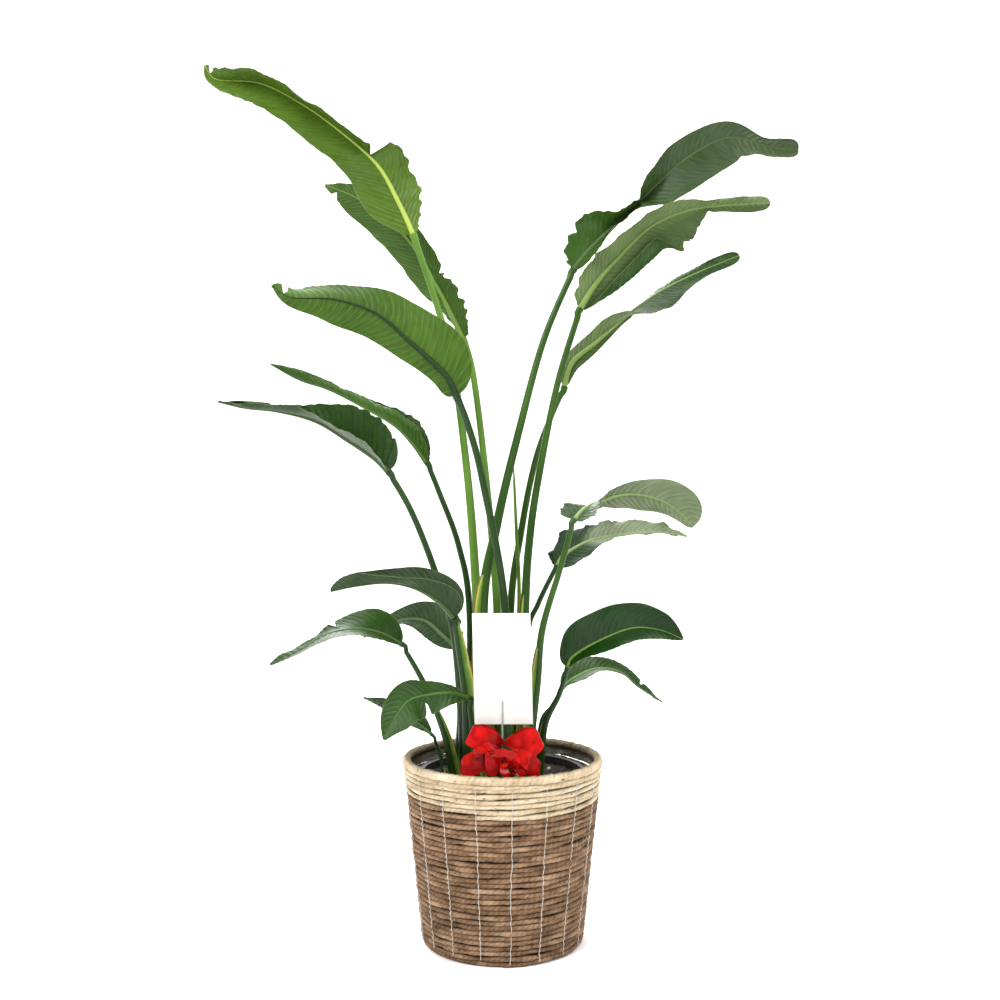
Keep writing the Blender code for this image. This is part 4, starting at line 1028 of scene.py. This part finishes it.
def blade_finish(name, shade, under):
    """One face of a blade: side veins run from the midrib to a thin pale edge, with fine ones between."""
    deep, light, vein, _, roughness = SHADES[shade]
    finish = Finish(name, specular_ior_level=0.14 if under else 0.20)
    along, across = finish.along_across()
    side = across.math("ABSOLUTE", across)
    drift = finish.speckle(finish.point(along * 25, across * 1.5), 1.0, 2.0) * 0.006
    ribs = ((along + drift) * (1 / RIB_SPACING)).wave()
    threads = (along * (1 / THREAD_SPACING)).wave()
    cloud = finish.speckle(finish.place(), 9, 4.0, 0.6)
    streaks = finish.speckle(finish.point(along * 260, across * 2.2), 1.0, 3.0, 0.6)
    tone = finish.stretch(cloud * 0.55 + streaks * 0.45, 0.34, 0.68)
    green = finish.blend(tone, deep, light)
    line = (ribs ** 8) * streaks * (0.75 if under else 0.30) + threads * 0.05
    green = finish.blend(line, green, vein)
    margin = finish.stretch(side, 0.975, 0.996)
    green = finish.blend(margin * 0.45, green, (0.22, 0.27, 0.07))
    # Painted sheen: the grey of this shade is a painted reflection; towards the base the blade is painted plain
    # saturated green, with no sheen.
    if shade == "painted_sheen":
        green = finish.blend(finish.stretch(along, 0.22, 0.09) * 0.85, green, (0.028, 0.080, 0.006))
    # Painted shade: the far half of each soft underside is painted a darker green, the shade under a half that
    # hangs down.
    if shade == "soft" and under:
        green = finish.blend(finish.stretch(across, 0.02, 0.35) * 0.7, green, (0.028, 0.062, 0.010))
    if shade == "silver":
        green = finish.blend(finish.stretch(along, 0.10, 0.26) * 0.45, green, (0.075, 0.125, 0.035))
        green = finish.blend(finish.stretch(along, 0.090, 0.065), green, COLLAR)
    finish.paint(base_color=green, roughness=cloud * 0.16 + (roughness - 0.08))
    finish.emboss(ribs * 0.25 + threads * 0.06 + streaks * 0.60, 0.0015)
    return finish


def plain_finish(name, light, deep, roughness):
    """Stalks and midribs: smooth, with fine lines along them."""
    finish = Finish(name, specular_ior_level=0.22)
    along, across = finish.along_across()
    lines = finish.speckle(finish.point(along * 4, across * 22), 1.0, 3.0, 0.6)
    cloud = finish.speckle(finish.place(), 9, 3.0)
    finish.paint(base_color=finish.blend(finish.stretch(lines * 0.5 + cloud * 0.5, 0.34, 0.66), deep, light),
                 roughness=lines * 0.15 + (roughness - 0.07))
    finish.emboss(lines, 0.0006)
    return finish


upper_finishes = {}
under_finishes = {}
midrib_finishes = {}
for shade, (_, _, _, rib, _) in SHADES.items():
    upper_finishes[shade] = blade_finish(f"{shade}_blade_face", shade, False)
    under_finishes[shade] = blade_finish(f"{shade}_blade_underside", shade, True)
    midrib_finishes[shade] = plain_finish(f"{shade}_midrib", rib, tuple(part * 0.72 for part in rib), 0.40)


def add_blade(name, leaf):
    """A blade with its midrib: ribbed, ruffled and torn as its look says, as thick as a leaf."""
    look = LOOKS[name]
    upper, under = look["shades"]
    spine, length = even_path([Vector(point) for point in leaf["midrib"]], SPINE_STEPS)
    left = leaf["midrib"][-1][0] < 0
    seed = sum(map(ord, name)) * 0.37

    def share(u):
        return 0.55 * u + 0.45 * (1 - math.cos(math.pi * u)) / 2

    def place(u, v):
        return blade_point(leaf, look, spine, share(u), 2 * v - 1)

    def lay(u, v):
        half = "near" if v < 0.5 else "far"
        s = 2 * v - 1
        return share(u) * length - look["slant"] * abs(s) ** 1.3 * half_reach(leaf, half, share(u), {}), s

    def lift(u, v):
        at, s = lay(u, v)
        ends = min(share(u) / 0.08, (1 - share(u)) / 0.08, 1)
        rib_turn = math.tau * at / RIB_SPACING + noise.noise(Vector((at * 40, s, seed)))
        rib = RIB_HEIGHT * math.cos(rib_turn) * min(abs(s) * 4, 1)
        frill = look["ruffle"] * abs(s) ** 5 * noise.noise(Vector((at * 34, 3 * (s > 0), seed)))
        wave = BLADE_WAVE * abs(s) * noise.noise(Vector((at * 9, s * 1.1, seed + 7)))
        return (rib + frill + wave) * ends

    bm = bmesh.new()
    add_grid(bm, round(length / BLADE_COLUMN), BLADE_ROWS, place, lay, lift=lift)
    if left:
        bmesh.ops.reverse_faces(bm, faces=bm.faces)
    for face in thicken(bm, bm.faces[:], BLADE_THICKNESS):
        face.material_index = 1
    midrib_radius = leaf["radius"][1]

    def upward(u):
        across = place(u, 0.55) - place(u, 0.45)
        step = round(u * SPINE_STEPS)
        ahead = spine[min(step + 2, SPINE_STEPS)] - spine[max(step - 2, 0)]
        return ahead.cross(across).normalized() * (-1 if left else 1)

    midrib = spine[::2]
    count = len(midrib) - 1
    for i in range(count + 1):
        midrib[i] = midrib[i] - upward(i / count) * midrib_radius * MIDRIB_SINK * (1 - i / count)

    def radius(u, out):
        return MIDRIB_TIP + (midrib_radius * 0.95 - MIDRIB_TIP) * (1 - u) ** 1.3

    add_tube(bm, midrib, MIDRIB_SIDES, radius, lambda u, v: (u * length, v), 2)
    close_ends(bm)
    rib_shade = upper if upper in ("fresh", "glossy", "silver") else under
    finishes = [upper_finishes[upper], under_finishes[under], midrib_finishes[rib_shade]]
    add_piece("leaf_blade_" + name, bm, finishes, ["leaf_" + name])


for name, leaf in LEAVES.items():
    add_blade(name, leaf)


# Leaf stalks
# Each stalk is firm and round with a shallow channel on its inner side. Low down the channel opens into
# a sheath that clasps the younger stalks inside it, with thin wings that dry to yellow and orange.
SOIL_GAP = 0.0003
STALK_STEP = 0.009
STALK_SIDES = 16
STALK_TAPER = 1.6
CHANNEL_DEPTH = 0.16
WING_THICKNESS = 0.0007
STALK_SHADES = {
    "pale": ((0.120, 0.235, 0.032), (0.055, 0.140, 0.013)),
    "green": ((0.040, 0.100, 0.011), (0.011, 0.042, 0.004)),
    "dark": ((0.020, 0.058, 0.008), (0.006, 0.026, 0.003)),
}
# Shade, height of the top of the sheath's wings, their width, and the way the sheath opens, in degrees
# from the right towards the back; None is towards the middle of the clump.
STALKS = {
    "left_top": ("pale", 0.60, 0.010, None), "left_high": ("pale", 0.56, 0.013, 180),
    "left_middle": ("dark", 0.56, 0.008, None), "left_folded": ("dark", 0.50, 0.008, None),
    "left_front": ("dark", 0.50, 0.010, None), "left_low": ("dark", 0.575, 0.021, 10),
    "left_low_back": ("dark", 0.38, 0.006, None), "left_side": ("dark", 0.42, 0.010, 5),
    "left_hanging": ("dark", 0.36, 0.006, None), "left_small": ("dark", 0.31, 0.003, None),
    "right_top": ("green", 0.664, 0.024, 188), "right_high": ("green", 0.628, 0.014, 200),
    "right_middle": ("green", 0.52, 0.008, None), "right_pale": ("green", 0.535, 0.016, 190),
    "right_back": ("dark", 0.46, 0.008, None), "right_glossy": ("dark", 0.40, 0.007, None),
    "right_narrow": ("dark", 0.36, 0.005, None),
}

stalk_finishes = {shade: plain_finish(f"{shade}_stalk", light, deep, 0.32)
                  for shade, (light, deep) in STALK_SHADES.items()}
sheath = Finish("sheath_wing", specular_ior_level=0.4, roughness=0.5)
along, across = sheath.along_across()
dry = sheath.stretch(across + sheath.speckle(sheath.place(), 40, 3.0) * 0.5, 0.35, 1.25)
sheath.paint(base_color=sheath.node("ValToRGB", {"stops": (
    (0.0, (0.040, 0.110, 0.008)), (0.55, (0.150, 0.270, 0.020)), (0.82, (0.46, 0.46, 0.12)),
    (1.0, (0.36, 0.160, 0.035)))}, {"Fac": dry}))
sheath.emboss(sheath.speckle(sheath.point(along * 6, across * 30), 1.0, 3.0), 0.0006)


def inward(point):
    """The level direction from a point to the middle of the clump."""
    return Vector((-point.x, -point.y, 0)).normalized() if point.xy.length > 0.004 else Vector((1, 0, 0))


def add_stalk(name, leaf):
    """A stalk from the soil to its blade, and the wings of its sheath."""
    shade, wing_top, wing_width, way = STALKS[name]
    spine, _ = even_path([Vector(point) for point in leaf["midrib"]], SPINE_STEPS)
    ahead = (spine[5] - spine[0]).normalized()
    points = [Vector((*leaf["petiole"][0], soil_high.z + SOIL_GAP)), *map(Vector, leaf["petiole"][1:])]
    points[-1] = spine[0] - ahead * SOIL_GAP
    length = sum((b - a).length for a, b in zip(points, points[1:]))
    count = round(length / STALK_STEP)
    path, length = even_path(points, count)
    path[-2] = path[-1] - ahead * STALK_STEP
    thick, thin = leaf["radius"]
    groove = inward(path[count // 4])
    opening = groove if way is None else Vector((math.cos(math.radians(way)), math.sin(math.radians(way)), 0))

    def radius(u, out):
        reach = thin + (thick - thin) * (1 - u) ** STALK_TAPER
        flare = 1 + 0.25 * max(u - 0.97, 0) / 0.03
        return reach * flare * (1 - CHANNEL_DEPTH * max((out.dot(groove) - 0.80) / 0.20, 0))

    bm = bmesh.new()
    add_tube(bm, path, STALK_SIDES, radius, lambda u, v: (u * length, v))
    last = max(i for i, point in enumerate(path) if point.z <= wing_top)
    for side in (-1, 1):
        def wing(u, v):
            index = min(u * last, last - 0.001)
            centre = path[int(index)].lerp(path[int(index) + 1], index % 1)
            reach = radius(index / count, Vector((0, 0, 1)))
            beside = Vector((-opening.y, opening.x, 0)) * side
            spread = wing_width * (1 - u) ** 0.35 * v
            apart = reach * 0.93 - 0.0008 - spread * 0.30 * v
            return centre + beside * apart + opening * (reach * 0.3 + spread)

        add_grid(bm, 60, 5, wing, lambda u, v: (u, v), slot=1)
    thicken(bm, [face for face in bm.faces if face.material_index == 1], WING_THICKNESS)
    close_ends(bm)
    add_piece("leaf_stalk_" + name, bm, [stalk_finishes[shade], sheath], ["petiole_" + name])


for name, leaf in LEAVES.items():
    add_stalk(name, leaf)


# New leaf
# The youngest leaf, still rolled into a tight spear between the stalks, with the edge of the roll
# winding up it.
SPEAR = dict(path=[(0.013, 0.010), (0.030, 0.030, 0.580), (0.025, 0.030, 0.730), (0.020, 0.035, 0.850)],
             radius=(0.006, 0.0025))
SPEAR_SEAM_TURNS = 1.3

spear_path, spear_length = even_path([Vector((*SPEAR["path"][0], soil_high.z + SOIL_GAP)),
                                      *map(Vector, SPEAR["path"][1:])], 120)


def spear_radius(u, out):
    thick, thin = SPEAR["radius"]
    seam = math.tau * SPEAR_SEAM_TURNS * u
    overlap = max(out.dot(Vector((math.cos(seam), math.sin(seam), 0))), 0) ** 6
    point = min((1 - u) / 0.06, 1) ** 0.6
    return (thick + (thin - thick) * u) * (0.92 + 0.16 * overlap) * max(point, 0.15)


bm = bmesh.new()
add_tube(bm, spear_path, 20, spear_radius, lambda u, v: (u * spear_length, v))
close_ends(bm)
add_piece("rolled_new_leaf", bm, [stalk_finishes["pale"]], ["spear_new_leaf"])


# Gift card
# A bare white card of stiff paper, with painted shade that makes it faintly warmer and darker towards
# its lower edge. It leans a little on its clear plastic stick.
card = Finish("card_paper", roughness=0.62, specular_ior_level=0.3)
fibre = card.speckle(card.place(), 900, 3.0)
height = card.node("SeparateXYZ", {}, {0: card.place()}, "Z")
low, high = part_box("gift_card")
# Painted shade: the card is painted warmer and darker towards its lower edge.
card.paint(base_color=card.blend(card.stretch(height, high.z, low.z) * 0.55 + fibre * 0.08,
                                 (0.74, 0.74, 0.72), (0.69, 0.645, 0.59)))
card.emboss(fibre, 0.00008)
card_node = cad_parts["gift_card"]
card_node.data.materials.clear()
card_node.data.materials.append(card.material)


# Card stick
# A thin stick of clear plastic, pushed into the soil. It is forked at the top, where a tongue holds the
# card's lower edge.
clear = Finish("clear_plastic", roughness=0.12, specular_ior_level=0.8, alpha=0.55)
haze = clear.speckle(clear.place(), 120, 3.0)
clear.paint(base_color=clear.blend(haze, (0.22, 0.22, 0.21), (0.50, 0.50, 0.49)))
clear.emboss(haze, 0.0003)
stick_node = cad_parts["card_stick"]
stick_node.data.materials.clear()
stick_node.data.materials.append(clear.material)


# Bow
# One satin ribbon folded back and forth and pinched at the middle: two loops up, two down, and a rosette
# of short folds in front of the knot. Each fold is the ribbon's path, given by its two edges.
RIBBON_THICKNESS = 0.0003
RIBBON_ROWS = 8
GATHER = 0.0009                 # height of the small pleats at a pinch
CREASE = 0.0012
BULGE = 0.0004
FOLD_SPAN = 0.15                # how far the pattern of the satin runs along one fold
RIBBON_COLUMNS = 56
# Pairs of points on the ribbon's two edges, in millimetres
FOLDS = {
    "upper_left": (
        ((1, -117, 376), (1, -117, 369)), ((-11, -127, 393), (-16, -129, 365)),
        ((-28, -131, 401), (-35, -135, 362)), ((-47, -126, 403), (-60, -132, 372)),
        ((-48, -116, 402), (-61, -121, 376)), ((-31, -102, 401), (-42, -106, 370)),
        ((-11, -103, 391), (-16, -106, 371)), ((1, -111, 376), (1, -111, 369))),
    "upper_right": (
        ((3, -117, 375), (3, -117, 369)), ((16, -128, 384), (16, -131, 364)),
        ((33, -134, 396), (33, -138, 357)),
        ((50, -130, 399), (57, -134, 355)), ((57, -118, 397), (70, -120, 370)),
        ((37, -104, 396), (43, -106, 366)), ((16, -104, 383), (18, -106, 367)),
        ((3, -111, 375), (3, -111, 369))),
    "lower_left": (
        ((-4, -122, 349), (-4, -122, 342)), ((-25, -131, 362), (-28, -134, 330)),
        ((-48, -135, 362), (-52, -138, 320)), ((-65, -128, 352), (-67, -132, 318)),
        ((-70, -116, 340), (-70, -118, 320)), ((-48, -106, 352), (-48, -108, 323)),
        ((-23, -108, 354), (-23, -110, 333)), ((-4, -116, 349), (-4, -116, 342))),
    "lower_right": (
        ((4, -122, 349), (4, -122, 342)), ((23, -130, 360), (23, -133, 330)),
        ((43, -134, 360), (43, -136, 321)),
        ((59, -127, 349), (59, -130, 318)), ((64, -116, 337), (62, -118, 320)),
        ((43, -106, 349), (43, -108, 325)), ((23, -108, 352), (23, -110, 333)),
        ((4, -116, 349), (4, -116, 342))),
    "left_fold": (
        ((-45, -133, 355), (-42, -136, 349)), ((-50, -137, 363), (-45, -141, 352)),
        ((-40, -141, 372), (-33, -144, 359)), ((-28, -139, 378), (-21, -143, 364)),
        ((-16, -134, 374), (-9, -138, 362)), ((-3, -126, 364), (-1, -128, 355))),
    "centre_left": (
        ((3, -128, 349), (3, -128, 340)), ((-8, -138, 360), (-8, -140, 325)),
        ((-20, -145, 363), (-20, -146, 323)), ((-29, -144, 361), (-29, -145, 327)),
        ((-28, -136, 359), (-26, -137, 328)), ((-14, -128, 355), (-13, -129, 332)),
        ((1, -124, 350), (1, -124, 338))),
    "arch": (
        ((-23, -146, 360), (-21, -147, 355)), ((-9, -150, 368), (-8, -151, 355)),
        ((6, -152, 369), (4, -151, 356)), ((20, -151, 361), (11, -148, 349)),
        ((29, -147, 348), (18, -143, 344)),
        ((30, -141, 333), (16, -137, 335)), ((21, -134, 325), (9, -130, 332))),
    "heart": (
        ((11, -148, 355), (6, -144, 349)), ((1, -149, 357), (-1, -144, 349)),
        ((-6, -148, 349), (-3, -143, 345)),
        ((-1, -147, 338), (1, -142, 342)), ((9, -148, 340), (6, -142, 344)),
        ((11, -150, 349), (6, -143, 347)),
        ((4, -150, 352), (3, -143, 347))),
    "right_fold": (
        ((9, -132, 359), (8, -132, 349)), ((23, -140, 366), (18, -142, 349)),
        ((37, -143, 367), (31, -146, 340)),
        ((47, -140, 359), (42, -144, 330)), ((48, -132, 350), (42, -136, 327)),
        ((33, -127, 349), (28, -130, 330))),
    "right_petal": (
        ((16, -140, 330), (6, -138, 337)), ((28, -146, 337), (18, -146, 347)),
        ((30, -149, 350), (18, -149, 355)), ((23, -147, 360), (14, -145, 359)),
        ((14, -141, 364), (9, -139, 357))),
    "lower_tip": (
        ((-4, -134, 338), (4, -134, 342)), ((-4, -142, 328), (9, -144, 333)),
        ((3, -145, 320), (14, -147, 327)),
        ((13, -142, 318), (20, -142, 325)), ((16, -134, 327), (13, -134, 333))),
    "lower_tip_right": (
        ((13, -134, 338), (18, -134, 344)), ((23, -142, 328), (31, -142, 337)),
        ((31, -144, 320), (42, -144, 328)), ((38, -136, 323), (42, -136, 332)),
        ((25, -128, 337), (26, -128, 342))),
}

satin = Finish("red_satin", specular_ior_level=0.14)
along, across = satin.along_across()
weave = satin.speckle(satin.point(along * 60, across * 3), 1.0, 3.0)
crush = satin.speckle(satin.place(), 55, 2.0)
# Painted shade: each fold is painted darker towards both its ends, near the knot.
off_middle = along * (2 / FOLD_SPAN) - 1
knot_shade = satin.stretch(off_middle.math("ABSOLUTE", off_middle), 0.35, 1.0)
tone = satin.stretch(weave * 0.4 + crush * 0.6, 0.35, 0.65) * (1 - knot_shade * 0.75)
satin.paint(base_color=satin.blend(tone, (0.20, 0.0005, 0.001), (0.56, 0.006, 0.004)),
            roughness=crush * 0.16 + 0.20)
satin.emboss(weave * 0.5 + crush * 0.5, 0.0003)

bm = bmesh.new()
for number, bars in enumerate(FOLDS.values()):
    edges = [[Vector(bar[side]) * 0.001 for bar in bars] for side in (0, 1)]

    def place(u, v):
        top = smooth_path(edges[0], u)
        bottom = smooth_path(edges[1], u)
        gather = GATHER * math.cos(math.pi * u) ** 4 * math.sin(v * math.tau * 2.5 + number)
        crease = CREASE * noise.noise(Vector((u * 6, v * 1.6, number * 3.3)))
        bulge = BULGE * math.sin(math.pi * u) * (1 - (2 * v - 1) ** 2)
        return top.lerp(bottom, v) + Vector((0, gather + crease - bulge, 0))

    add_grid(bm, RIBBON_COLUMNS, RIBBON_ROWS, place, lambda u, v: (u * FOLD_SPAN, v))
thicken(bm, bm.faces[:], RIBBON_THICKNESS)
bow = add_piece("ribbon_bow_loops", bm, [satin], ["ribbon_bow"])
